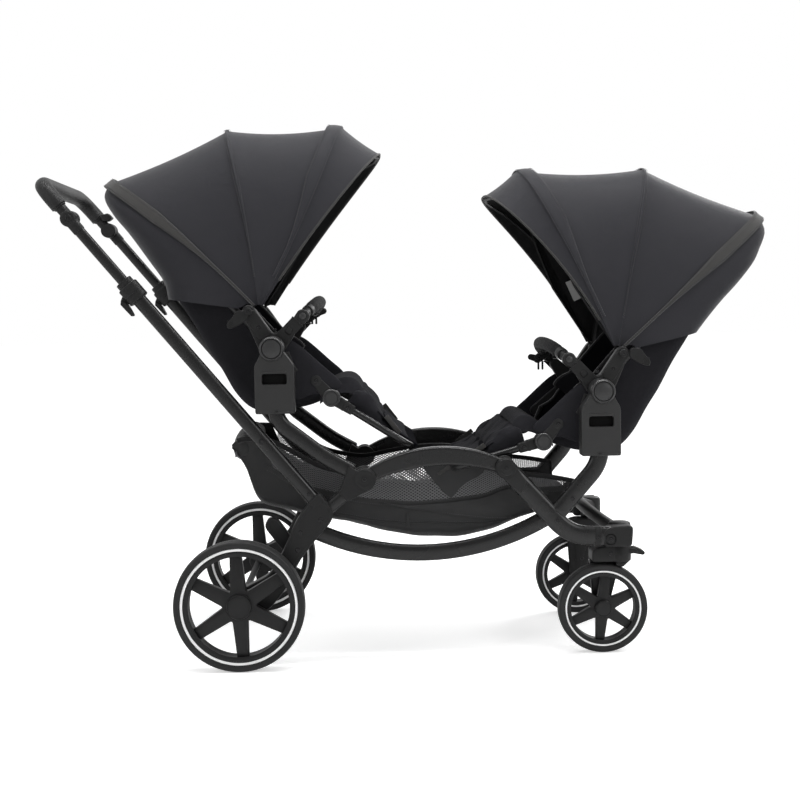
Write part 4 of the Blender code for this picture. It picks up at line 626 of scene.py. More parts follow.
# Inner tubes, each ending in a round joint on which the handle bar tilts; a screw holds the joint.
JOINT = COLLAR + handle_way * 0.1794
inner_tube = rod("inner_tube", in_plane(np.linspace(COLLAR - handle_way * 0.2, JOINT, 20)),
    oval(0.0175, 0.0235, 2.5, 36), painted)
knuckle = lathe("knuckle", [(0.0, -0.2515), (0.0075, -0.2515), (0.0082, -0.2508), (0.0125, -0.251),
    (0.015, -0.25), (0.0172, -0.248), (0.0176, -0.244), (0.0176, -0.233), (0.0165, -0.2312),
    (0.0, -0.2312)], JOINT, moulded, 56)
socket = rod("socket", in_plane([JOINT - handle_way * 0.034, JOINT - handle_way * 0.01]),
    oval(0.0192, 0.0262, 2.5, 40), moulded, ends=0.0015)
both_sides(joined("inner_handle", [inner_tube, knuckle, socket]), "handle_slider", "handle_slider_{}")
both_sides(joined("joint_screw", [screw(JOINT, -0.2516, 0.004)]), "handle_slider")

# Handle bar: a moulded yoke on the two joints under a wrapped leatherette grip, seamed beneath.
# The bar's middle lies inside the tubes by half an inner tube, a hair's gap and half its own eye.
BAR_PLANE = -TUBE_PLANE - 0.0175 / 2 - 0.0006 - 0.0125
CORNER = np.array((-0.41, 1.043))


def bar_path(start, count=90, bend=0.055):
    """The line of the bar: up from the right joint, across in an easy bow, and down again.

    A three-sided path whose two corners are swapped for (1-t)^2, 2t(1-t), t^2 curves.
    """
    joint = np.array((JOINT[0], -BAR_PLANE, JOINT[1]))
    corner = np.array((CORNER[0], -BAR_PLANE, CORNER[1]))
    way = (corner - joint) / np.linalg.norm(corner - joint)
    t = np.linspace(0, 1, count // 3)[:, None]
    reach = np.array((0, bend, 0))
    curve = (corner - way * bend) * (1 - t) ** 2 + corner * 2 * t * (1 - t) + (corner + reach) * t * t
    rise = np.linspace(joint + way * start, corner - way * bend, count // 6)[:-1]
    half = np.concatenate([rise, curve])
    rest = np.linspace(corner + reach, (corner + reach) * (1, 0, 1), count // 4)[1:]
    right = np.concatenate([half, rest])
    return np.concatenate([right, right[-2::-1] * (1, -1, 1)]), np.cross(way, (0, 1, 0))


bar_line, bar_normal = bar_path(0.0)
yoke = rod("yoke", bar_line, oval(0.024, 0.024, 2.2, 28), moulded, across=bar_normal)
ears = [lathe("ear", [(0.0, side * BAR_PLANE - 0.0124), (0.016, side * BAR_PLANE - 0.0124),
    (0.0178, side * BAR_PLANE - 0.0105), (0.0178, side * BAR_PLANE + 0.0105),
    (0.016, side * BAR_PLANE + 0.0124), (0.0, side * BAR_PLANE + 0.0124)], JOINT, moulded, 56)
    for side in (-1, 1)]
trigger = slab("trigger", rounded_loop(np.array([(-0.364, 1.003), (-0.344, 1.008), (-0.333, 0.996),
    (-0.344, 0.988), (-0.359, 0.989)]), 0.004), BAR_PLANE - 0.014, BAR_PLANE + 0.01, 0.002, moulded)
yoke = joined("handle_yoke", [yoke, *ears, trigger])
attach(yoke, "handle_bar")
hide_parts("handle_bar")
grip_line, grip_normal = bar_path(0.036, 150)
along = np.linspace(0, 1, len(grip_line))
leatherette = finish_of("black_leatherette", (0.0105, 0.0105, 0.0108), 0.5, scale=850.0, depth=0.5,
    sway=0.1, gloss=0.3)
swell = 1 - 0.16 * np.exp(-np.minimum(along, 1 - along) / 0.008)
grip = rod("handle_grip_wrap", grip_line, oval(0.0352, 0.035, 2.15, 40), leatherette, across=grip_normal,
    scale=np.stack([swell, swell], -1), ends=0.004)
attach(grip, "handle_bar")
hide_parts("handle_grip")
grip_seam = rod("handle_grip_seam", grip_line[3:-3] + grip_normal * 0.0172, oval(0.0014, 0.0016, 2.0, 10),
    leatherette, across=grip_normal, ends=0.0004)
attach(grip_seam, "handle_bar")


# Arches: stiff moulded bows, thickest at mid span, that carry the load between the two hinges.
# Their eyes turn between the cheeks of the rear leg and of the front tube.
def bowed(start, end, rise, count):
    """Points on the circular arc whose middle stands rise above the chord from start to end.

    The radius is (h^2 + rise^2) / (2 rise) for half a chord h.
    """
    start, end = np.asarray(start, float), np.asarray(end, float)
    half = np.linalg.norm(end - start) / 2
    radius = (half ** 2 + rise ** 2) / (2 * abs(rise))
    along = (end - start) / (2 * half)
    up = np.array((-along[1], along[0])) * np.sign(rise)
    a = np.linspace(-1, 1, count) * np.arcsin(half / radius)
    centre = (start + end) / 2 + up * (abs(rise) - radius)
    return centre + radius * (np.cos(a)[:, None] * up + np.sin(a)[:, None] * along)


def bow_outline(line, widths, start_eye, end_eye):
    """The outline of a bar along a line with a width at each point and a round eye at each end."""
    heading = headings(line)
    side = np.stack([-heading[:, 1], heading[:, 0]], -1) * np.asarray(widths)[:, None] / 2
    turn = np.radians(np.linspace(80, -80, 18))
    eyes = []
    for centre, way, radius in ((line[-1], heading[-1], end_eye), (line[0], -heading[0], start_eye)):
        first = np.arctan2(way[1], way[0])
        eyes.append(centre + radius * np.stack([np.cos(first + turn), np.sin(first + turn)], -1))
    return np.concatenate([(line + side)[2:-2], eyes[0], (line - side)[-3:1:-1], eyes[1]])


arch_line = bowed(HINGE_REAR, HINGE_FRONT, 0.036, 40)
swell = np.sin(np.linspace(0, np.pi, 40))
arch_bar = slab("arch", bow_outline(arch_line, 0.029 + 0.012 * swell, 0.0228, 0.0212)[::-1], -0.2522,
    -0.2278, 0.0062, painted, 5)
both_sides(arch_bar, "arches", "arch_{}")

# Lower arcs: long oval tubes, bowed down under the basket, each pinned to its rear leg.
ARC_REAR, ARC_FRONT = (0.16, 0.284), (0.676, 0.308)
arc_line = bowed(ARC_REAR, ARC_FRONT, -0.065, 60)
arc_tube = rod("lower_arc", in_plane(arc_line, -0.2114), oval(0.022, 0.036, 2.7, 44), painted, ends=0.0109)
arc_pin = lathe("arc_pin", [(0.0, -0.2228), (0.011, -0.2228), (0.0122, -0.2218), (0.0122, -0.215),
    (0.0, -0.215)], ARC_FRONT, moulded, 40)
both_sides(joined("arc", [arc_tube, arc_pin]), "lower_arcs", "lower_arc_{}")


# Seat tubes: a stub stands up from each side of the frame for a seat's adapter to slide down on.
def run_of(path):
    """The running length of a path at each of its points."""
    return np.concatenate([[0], np.cumsum(np.linalg.norm(np.diff(path, axis=0), axis=1))])


def bent(corners, radius, steps=10, spacing=0.006):
    """A path through the corners, each swapped for a curve (1-t)^2, 2t(1-t), t^2, then spaced evenly."""
    corners = np.asarray(corners, float)
    t = np.linspace(0, 1, steps)[:, None]
    pieces = [corners[:1]]
    for before, corner, after in zip(corners, corners[1:], corners[2:]):
        reach = min(radius, np.linalg.norm(before - corner) * 0.48, np.linalg.norm(after - corner) * 0.48)
        start = corner + (before - corner) / np.linalg.norm(before - corner) * reach
        end = corner + (after - corner) / np.linalg.norm(after - corner) * reach
        pieces.append(start * (1 - t) ** 2 + corner * 2 * t * (1 - t) + end * t * t)
    path = np.concatenate(pieces + [corners[-1:]])
    run = run_of(path)
    places = np.linspace(0, run[-1], max(8, int(run[-1] / spacing)))
    return np.stack([np.interp(places, run, path[:, k]) for k in range(path.shape[1])], -1)


rear_post = rod("seat_tube_rear",
    in_plane(bent([(0.083, 0.5955), (0.083, 0.527), (0.187, 0.446), (0.2425, 0.4155)], 0.03)),
    oval(0.0238, 0.034, 2.8, 40), painted, ends=0.003)
both_sides(rear_post, "rear_frame", "rear_seat_tube_{}")
front_post = rod("seat_tube_front", in_plane(bent([(0.78, 0.4915), (0.78, 0.423), (0.689, 0.319)], 0.032)),
    oval(0.0238, 0.038, 2.8, 40), painted, ends=0.003)
both_sides(front_post, "front_frame", "front_seat_tube_{}")

# Front tubes: an oval tube bends forward from the front hinge into the moulded castor housing.
front_line = bent([(0.59, 0.4014), (0.713, 0.267), (0.8, 0.2624)], 0.055, 16)
front_bar = rod("front_tube", in_plane(front_line), oval(0.0238, 0.042, 2.8, 44), painted)
turn = np.radians(np.linspace(60, 250, 30))
front_cheek = np.concatenate([
    np.stack([HINGE_FRONT[0] + 0.0232 * np.cos(turn), HINGE_FRONT[1] + 0.0232 * np.sin(turn)], -1),
    [(0.588, 0.376), (0.604, 0.3665), (0.613, 0.376), (0.6165, 0.39), (0.604, 0.409)]])
front_cheeks = [slab("cheek", front_cheek, low, high, 0.0022, moulded) for low, high in CHEEKS]
saddle = slab("saddle", [(0.5925, 0.377), (0.606, 0.3625), (0.621, 0.383), (0.609, 0.3965)], -0.26, -0.22,
    0.001, moulded)
both_sides(joined("front_side", [front_bar, saddle, *front_cheeks, *hinge_cap(HINGE_FRONT, 0.0232,
    -0.2656)]), "front_frame", "front_tube_{}")


def upright(name, profile, centre, look, steps=64):
    """A profile of (radius, z) turned about the upright line through centre = (x, y)."""
    a = np.arange(steps) * 2 * np.pi / steps
    r, z = np.asarray(profile, float).T[..., None]
    points = np.stack([centre[0] + r * np.cos(a), centre[1] + r * np.sin(a), z + 0 * a], -1)
    faces, uv = grid_faces(len(profile), steps, ring=True)
    return skin(name, points, faces, look, uv)


CASTOR, BOLT = (0.828, -0.2), (0.8, 0.2575)
block = slab("block", rounded_loop([(0.787, 0.24), (0.847, 0.24), (0.8505, 0.287), (0.807, 0.2845),
    (0.7845, 0.276)], [0.008, 0.01, 0.012, 0.012, 0.01], 6), -0.2535, -0.202, 0.0045, moulded, 4)
pot = upright("pot", [(0.0, 0.2398), (0.0225, 0.2398), (0.0248, 0.2418), (0.0252, 0.244), (0.0252, 0.28),
    (0.024, 0.285), (0.0205, 0.288), (0.012, 0.2893), (0.0, 0.2896)], CASTOR, moulded)
band = upright("band", [(0.025, 0.2478), (0.0256, 0.2484), (0.0256, 0.2506), (0.025, 0.2512)], CASTOR,
    moulded)
bolt_cap = lathe("bolt_cap", [(0.0, -0.2552), (0.0088, -0.2552), (0.0098, -0.2548), (0.0104, -0.2535),
    (0.0122, -0.2535), (0.0128, -0.2528), (0.0128, -0.25), (0.0, -0.25)], BOLT, moulded, 56)
socket_ring = rod("socket_ring", in_plane([(0.768, 0.2632), (0.779, 0.263)]), oval(0.0262, 0.0445, 2.8, 44),
    moulded, ends=0.0012)
both_sides(joined("castor_housing", [block, pot, band, bolt_cap, socket_ring]), "front_frame", None)
both_sides(joined("front_screws", [screw((0.685, 0.301), -0.2522, 0.004), screw((0.719, 0.348), -0.2522,
    0.004), screw(BOLT, -0.2554, 0.0046), screw((0.773, 0.263), -0.2534, 0.003)]), "front_frame")

# Cross member: a bowed moulded bar ties the two castor housings together behind the foot well.
t = np.linspace(-1, 1, 61)
cross_line = np.stack([0.828 - 0.052 * np.cos(np.pi / 2 * t) ** 0.8, 0.185 * t,
                       0.268 + 0.03 * np.cos(np.pi / 2 * t)], -1)
cross_bar = rod("cross_member", cross_line, oval(0.026, 0.023, 2.8, 36), moulded, across=(0, 0, 1.0))
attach(cross_bar, "front_frame")
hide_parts("front_cross_member")


# Castor forks: a moulded head turns under each housing; one leg runs down the inner side of the
# wheel to a stub axle. A toe lever on the front of the head locks it straight.
AXLE_FRONT = (0.789, 0.0985)
head_ring = upright("head", [(0.0, 0.2012), (0.0225, 0.2012), (0.025, 0.2036), (0.0254, 0.206),
    (0.0254, 0.2345), (0.024, 0.2372), (0.0215, 0.2383), (0.0, 0.2383)], CASTOR, moulded)
head_line = upright("head_line", [(0.0252, 0.2175), (0.0258, 0.2181), (0.0258, 0.2199), (0.0252, 0.2205)],
    CASTOR, moulded)
shoulder = slab("shoulder", rounded_loop([(0.764, 0.2012), (0.836, 0.2012), (0.84, 0.238), (0.785, 0.238),
    (0.765, 0.228)], [0.01, 0.008, 0.008, 0.016, 0.008], 7), -0.2215, -0.165, 0.0048, moulded, 5)
fork_leg = slab("fork_leg", rounded_loop([(0.764, 0.231), (0.839, 0.231), (0.833, 0.19), (0.8075, 0.0935),
    (0.7895, 0.079), (0.773, 0.0935), (0.768, 0.15)], [0.01, 0.01, 0.03, 0.014, 0.012, 0.014, 0.04], 7),
    -0.179, -0.1645, 0.0045, moulded, 5)
recess = slab("recess", rounded_loop([(0.782, 0.206), (0.818, 0.206), (0.816, 0.185), (0.798, 0.118),
    (0.787, 0.118), (0.783, 0.156)], 0.008, 5), -0.165, -0.1632, 0.0008, moulded)
stub = lathe("stub", [(0.0, -0.208), (0.0054, -0.208), (0.0054, -0.177), (0.0, -0.177)], AXLE_FRONT, steel,
    32)
cap = lathe("axle_cap", [(0.0, -0.1668), (0.0, -0.1604), (0.01, -0.1604), (0.0125, -0.1622),
    (0.013, -0.1668)], AXLE_FRONT, moulded, 48)
ears = [slab("ear", rounded_loop([(0.845, 0.219), (0.863, 0.2188), (0.865, 0.2255), (0.8595, 0.2305),
    (0.845, 0.2305)], 0.003), low, high, 0.0008, moulded) for low, high in ((-0.2178, -0.2136),
    (-0.1864, -0.1822))]
wedge = slab("wedge", rounded_loop([(0.818, 0.19), (0.834, 0.1885), (0.848, 0.201), (0.848, 0.204),
    (0.818, 0.204)], 0.004, 5), -0.212, -0.188, 0.002, moulded)
both_sides(joined("castor_fork", [head_ring, head_line, shoulder, fork_leg, recess, wedge, cap, *ears]),
    "fork_{}", "fork_{}")
both_sides(stub, "fork_{}", None)
both_sides(joined("fork_screws", [screw((0.801, 0.14), -0.1632, 0.0036, side=1),
    screw((0.806, 0.22), -0.2217, 0.004)]), "fork_{}")

toe = slab("toe", rounded_loop([(0.8555, 0.2186), (0.879, 0.2142), (0.8825, 0.218), (0.8815, 0.2225),
    (0.861, 0.233), (0.8555, 0.2295)], [0.003, 0.003, 0.003, 0.004, 0.004, 0.003], 5), -0.213, -0.187,
    0.0018, moulded, 4)
toe_ribs = [rod("rib", [(0.869 + 0.004 * k, -0.21, 0.229 - 0.002 * k), (0.869 + 0.004 * k, -0.19,
    0.229 - 0.002 * k)], oval(0.0012, 0.0016, 2, 10), moulded, across=(0.45, 0, 0.9), ends=0.0005)
    for k in range(3)]
both_sides(joined("swivel_toe", [toe, *toe_ribs]), "swivel_lock_{}", "swivel_lock_{}")


# Basket: a slung bag of coated polyester with net windows along its sides, bound round the rim
# with tape and sewn to a bowed floor. A soft lip rolls over behind the seat.
thread_pale = finish_of("thread_grey", (0.085, 0.085, 0.09), 0.75, scale=3000.0, dust=0.05, gloss=0.2)

woven, woven_in, woven_out = effect("plain_weave", [("Colour", "Color", (0.02, 0.02, 0.02, 1)),
    ("Fleck Colour", "Color", (0.06, 0.06, 0.06, 1)), ("Fleck Share", "Float", 0.3),
    ("Thread Pitch", "Float", 0.0009), ("Depth", "Float", 0.3), ("Roughness", "Float", 0.8),
    ("Pucker", "Float", 0.3)], [("Colour", "Color"), ("Roughness", "Float"), ("Normal", "Vector")])
lay = node(woven, "UVMap", uv_map="lay").outputs["UV"]
turns = node(woven, "Math", {0: 1.0, 1: woven_in.outputs["Thread Pitch"]}, operation="DIVIDE")
warp = node(woven, "VectorMath", {0: lay, "Scale": turns.outputs[0]}, operation="SCALE")
crossed = node(woven, "SeparateXYZ", {"Vector": warp.outputs[0]})
waves = []
for label in ("X", "Y"):
    full = node(woven, "Math", {0: crossed.outputs[label], 1: 2 * math.pi}, operation="MULTIPLY")
    waves.append(node(woven, "Math", {0: full.outputs[0]}, operation="SINE").outputs[0])
over = node(woven, "Math", {0: waves[0], 1: waves[1]}, operation="MULTIPLY")
thread_bump = node(woven, "Bump", {"Distance": 0.0002, "Height": over.outputs[0],
    "Strength": woven_in.outputs["Depth"]})
creases = node(woven, "TexNoise", {"Scale": 22.0, "Detail": 3.0, "Roughness": 0.55, "Distortion": 0.6,
    "Vector": node(woven, "TexCoord").outputs["Object"]})
crease_bump = node(woven, "Bump", {"Distance": 0.004, "Height": creases.outputs["Fac"],
    "Strength": woven_in.outputs["Pucker"], "Normal": thread_bump.outputs["Normal"]})
stretch = node(woven, "VectorMath", {0: lay, 1: (900.0, 2600.0, 1.0)}, operation="MULTIPLY")
slubs = node(woven, "TexNoise", {"Detail": 2.0, "Roughness": 0.8, "Scale": 1.0,
    "Vector": stretch.outputs[0]})
flecks = node(woven, "MapRange", {"From Min": 0.48, "From Max": 0.72, "Value": slubs.outputs["Fac"]})
share = node(woven, "Math", {0: flecks.outputs["Result"], 1: woven_in.outputs["Fleck Share"]},
    operation="MULTIPLY")
dyed = node(woven, "Mix", {"Factor": share.outputs[0], "A": woven_in.outputs["Colour"],
    "B": woven_in.outputs["Fleck Colour"]}, data_type="RGBA")
uneven = node(woven, "Math", {0: creases.outputs["Fac"], 1: 0.12, 2: woven_in.outputs["Roughness"]},
    operation="MULTIPLY_ADD")
feed(woven, woven_out, {"Colour": dyed.outputs["Result"], "Roughness": uneven.outputs[0],
    "Normal": crease_bump.outputs["Normal"]})


def cloth_of(name, colour, flecks, roughness=0.8, pitch=0.0009, depth=0.3, share=0.3, pucker=0.25,
        sheen=0.25, gloss=0.3):
    """A woven cloth: the shared weave with this cloth's own values and a soft sheen."""
    values = {"Colour": (*colour, 1), "Fleck Colour": (*flecks, 1), "Fleck Share": share,
        "Thread Pitch": pitch, "Depth": depth, "Roughness": roughness, "Pucker": pucker}
    return material_of(name, woven, values, {"Specular IOR Level": gloss, "Sheen Weight": sheen,
        "Sheen Roughness": 0.4})


canvas = cloth_of("charcoal_canvas", (0.0138, 0.0136, 0.0176), (0.045, 0.045, 0.052), 0.62, sheen=0.15)
lining = cloth_of("black_lining", (0.0045, 0.0045, 0.005), (0.01, 0.01, 0.011), 0.75, share=0.2)
tape = cloth_of("grey_tape", (0.036, 0.035, 0.034), (0.075, 0.073, 0.07), 0.78, pitch=0.0016, depth=0.5)
binding_black = cloth_of("black_binding", (0.0085, 0.0085, 0.009), (0.018, 0.018, 0.019), 0.7, pitch=0.0014,
    depth=0.5)


def normals_of(grid):
    """Unit normals of a grid of points, from the cross product of its two gradients."""
    along, over = np.gradient(grid, axis=0), np.gradient(grid, axis=1)
    made = np.cross(over, along)
    return made / np.maximum(np.linalg.norm(made, axis=-1, keepdims=True), 1e-9)


def cloth(name, grid, thick, outer, inner, outward, lift=0.0):
    """A layer of cloth on a grid of points, its outer face moved out by lift and closed all round.

    The normals are turned to point along outward at the middle of the grid. uv is in metres, the
    running length across the middle row and along the middle column.
    """
    grid = np.asarray(grid, float)
    rows, columns = grid.shape[:2]
    n = normals_of(grid)
    if n[rows // 2, columns // 2] @ np.asarray(outward, float) < 0:
        n = -n
    top = grid + n * (lift[..., None] if np.ndim(lift) else lift)
    low = grid - n * thick
    quads, _ = grid_faces(rows, columns)
    index = np.arange(rows * columns).reshape(rows, columns)
    rim = np.concatenate([index[0], index[1:, -1], index[-1, -2::-1], index[-2:0:-1, 0]])
    after = np.roll(rim, -1)
    count = rows * columns
    sides = np.stack([rim, after, after + count, rim + count], -1)
    faces = np.concatenate([quads, quads[:, ::-1] + count, sides])
    u, v = run_of(grid[rows // 2]), run_of(grid[:, columns // 2])
    flat = np.stack(np.broadcast_arrays(u[None, :], v[:, None]), -1).reshape(-1, 2)
    uv = np.concatenate([flat, flat])[faces.ravel()]
    piece = skin(name, np.concatenate([top.reshape(-1, 3), low.reshape(-1, 3)]), faces.tolist(), outer, uv,
        sharp=60.0)
    piece.data.materials.append(inner)
    which = np.zeros(len(piece.data.polygons), np.int32)
    which[len(quads):2 * len(quads)] = 1
    piece.data.polygons.foreach_set("material_index", which)
    return piece


def declared(grid):
    """Reads the grid as an array and does nothing more with it."""
    grid = np.asarray(grid, float)


def evenly(path, spacing):
    """The path as points a fixed spacing apart, by its running length."""
    path = np.asarray(path, float)
    run = run_of(path)
    places = np.arange(0.0, run[-1], spacing) + (run[-1] % spacing) / 2
    return np.stack([np.interp(places, run, path[:, k]) for k in range(3)], -1)


def stitches(name, lines, look, length=0.0032, pitch=0.0048, thick=0.00042):
    """Rows of stitches: along each (path, outward) line, short threads that dip at both ends.

    A stitch is three rings of four corners, the middle one raised by thick, the ends sunk.
    """
    shells, faces, total = [], [], 0
    for path, outward in lines:
        centre = evenly(path, pitch)
        if len(centre) < 3:
            continue
        ahead = headings(centre)
        out = np.asarray(outward, float)
        if out.ndim == 1:
            out = np.broadcast_to(out, centre.shape)
        else:
            run = np.linspace(0, 1, len(out))
            share = np.linspace(0, 1, len(centre))
            out = np.stack([np.interp(share, run, out[:, k]) for k in range(3)], -1)
        out = out - ahead * (out * ahead).sum(1, keepdims=True)
        out /= np.maximum(np.linalg.norm(out, axis=1, keepdims=True), 1e-9)
        side = np.cross(ahead, out)
        t = np.array([-0.5, 0.0, 0.5])[:, None, None]
        rise = np.array([-0.3, 0.9, -0.3])[:, None, None] * thick
        size = np.array([0.45, 1.0, 0.45])[:, None, None] * thick
        turn = np.array([[1, 0], [0, 1], [-1, 0], [0, -1]], float)[None]
        local = np.concatenate([np.broadcast_to(t * length, (3, 4, 1)),
                                size * turn[..., :1] + rise, size * turn[..., 1:]], -1)
        shell = (centre[:, None, None] + local[None, ..., :1] * ahead[:, None, None]
                 + local[None, ..., 1:2] * out[:, None, None] + local[None, ..., 2:] * side[:, None, None])
        k = np.arange(len(centre))[:, None, None] * 12 + total
        ring = np.arange(4)
        walls = np.stack([ring, (ring + 1) % 4, (ring + 1) % 4 + 4, ring + 4], -1)
        walls = np.concatenate([walls, walls + 4, [[3, 2, 1, 0]], [[8, 9, 10, 11]]])
        faces.append((walls[None] + k).reshape(-1, 4))
        shells.append(shell.reshape(-1, 3))
        total += len(shells[-1])
    return skin(name, np.concatenate(shells), np.concatenate(faces).tolist(), look, sharp=70.0)


def net_of(name, colour, pitch, bar):
    """A knitted net: crossed threads of bar share of the pitch stand, and alpha is nought between.

    The threads run where the larger of cos(2 pi a) and cos(2 pi b) is over cos(pi bar), for a and b
    the two diagonals of the cloth's own uv over the pitch, wavered by a slow noise.
    """
    made = bpy.data.materials.new(name)
    made.use_nodes = True
    tree = made.node_tree
    laid = node(tree, "UVMap", uv_map="lay").outputs["UV"]
    drift = node(tree, "TexNoise", {"Scale": 9.0, "Detail": 1.0, "Vector": laid})
    pulled = node(tree, "VectorMath", {0: drift.outputs["Color"], 1: (0.01, 0.01, 0.0)},
        operation="MULTIPLY")
    moved = node(tree, "VectorMath", {0: laid, 1: pulled.outputs[0]}, operation="ADD")
    ridges = []
    for way in ((1.0, 0.72, 0.0), (1.0, -0.72, 0.0)):
        turns = tuple(k * 2 * math.pi / pitch for k in way)
        along = node(tree, "VectorMath", {0: moved.outputs[0], 1: turns}, operation="DOT_PRODUCT")
        ridges.append(node(tree, "Math", {0: along.outputs["Value"]}, operation="COSINE").outputs[0])
    top = node(tree, "Math", {0: ridges[0], 1: ridges[1]}, operation="MAXIMUM").outputs[0]
    edge = math.cos(math.pi * bar)
    stands = node(tree, "MapRange", {"From Min": edge - 0.06, "From Max": edge + 0.06, "Value": top})
    rounded = node(tree, "Bump", {"Distance": 0.0003, "Strength": 0.6, "Height": top})
    feed(tree, tree.nodes["Principled BSDF"], {"Base Color": (*colour, 1), "Roughness": 0.6,
        "Specular IOR Level": 0.3, "Alpha": stands.outputs["Result"], "Normal": rounded.outputs["Normal"]})
    return made


basket_cloth = cloth_of("basket_polyester", (0.0125, 0.0125, 0.013), (0.024, 0.024, 0.025), 0.58,
    pitch=0.0008, share=0.35, pucker=0.5, sheen=0.1, gloss=0.4)
# The net's threads are a light grey, far lighter than the bag: painted light standing in for the bright
# backdrop seen through the two layers of net.
basket_net = net_of("basket_net", (0.105, 0.105, 0.108), 0.0066, 0.44)
low_line = flow([(-0.018, 0.464), (0.01, 0.42), (0.042, 0.342), (0.125, 0.318), (0.215, 0.298),
    (0.345, 0.2662), (0.436, 0.2552), (0.54, 0.268), (0.642, 0.306), (0.7, 0.322), (0.73, 0.34)], 240)
rim_line = flow([(-0.018, 0.472), (-0.008, 0.481), (0.02, 0.485), (0.07, 0.478), (0.12, 0.452),
    (0.17, 0.424), (0.215, 0.411), (0.27, 0.404), (0.34, 0.416), (0.4, 0.424), (0.47, 0.424), (0.53, 0.414),
    (0.6, 0.399), (0.68, 0.388), (0.73, 0.378)], 240)
net_line = flow([(0.06, 0.42), (0.12, 0.382), (0.19, 0.362), (0.264, 0.344), (0.34, 0.337), (0.413, 0.335),
    (0.523, 0.347), (0.59, 0.366), (0.65, 0.36), (0.715, 0.362)], 240)


BAG_REAR, BAG_FRONT, BAG_HALF = -0.018, 0.73, 0.188


def basket_row(x, v):
    """Points of the bag at length x, v across it from rim (-1) to rim (1).

    y is half min(1, |v| / 0.62)^0.9 with the sign of v, and the height goes from the low line to
    the rim line by max(0, (|v| - 0.5) / 0.5)^1.6, sagging where it hangs free between the two.
    """
    x, v = np.broadcast_arrays(np.asarray(x, float), np.asarray(v, float))
    low = np.interp(x, low_line[:, 0], low_line[:, 1])
    rim = np.interp(x, rim_line[:, 0], rim_line[:, 1])
    rise = np.maximum(0.0, (np.abs(v) - 0.5) / 0.5) ** 1.6
    wide = BAG_HALF * np.sign(v) * np.minimum(1.0, np.abs(v) / 0.62) ** 0.9
    slack = np.sin(np.pi * np.clip(rise, 0, 1)) * 0.0025
    wave = (0.0012 * np.sin(38 * x + 3.0 * v) + 0.0008 * np.sin(71 * x - 5.0 * v)) * (1 - rise)
    return np.stack([x, wide - np.sign(v) * slack, low + (rim - low) * rise + wave], -1)


def height_share(x, height):
    """How far across the bag its side reaches a height: the row's rise turned round."""
    low = np.interp(x, low_line[:, 0], low_line[:, 1])
    rim = np.interp(x, rim_line[:, 0], rim_line[:, 1])
    rise = np.clip((height - low) / (rim - low), 0.0, 1.0)
    return 0.5 + 0.5 * rise ** (1 / 1.6)


x = np.linspace(BAG_REAR, BAG_FRONT, 121)
net_height = np.interp(x, net_line[:, 0], net_line[:, 1])
open_share = np.clip(np.minimum((x - 0.045) / 0.03, (0.718 - x) / 0.02), 0, 1)
reach = 1 - (1 - height_share(x, net_height)) * open_share
v = np.linspace(-1, 1, 61)
bag_grid = basket_row(x[:, None], v[None, :] * reach[:, None])
bag = cloth("basket_bag", bag_grid, 0.0011, basket_cloth, basket_cloth, (0, 0, -1.0))
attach(bag, "rear_frame")
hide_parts("basket")
declared(bag_grid)

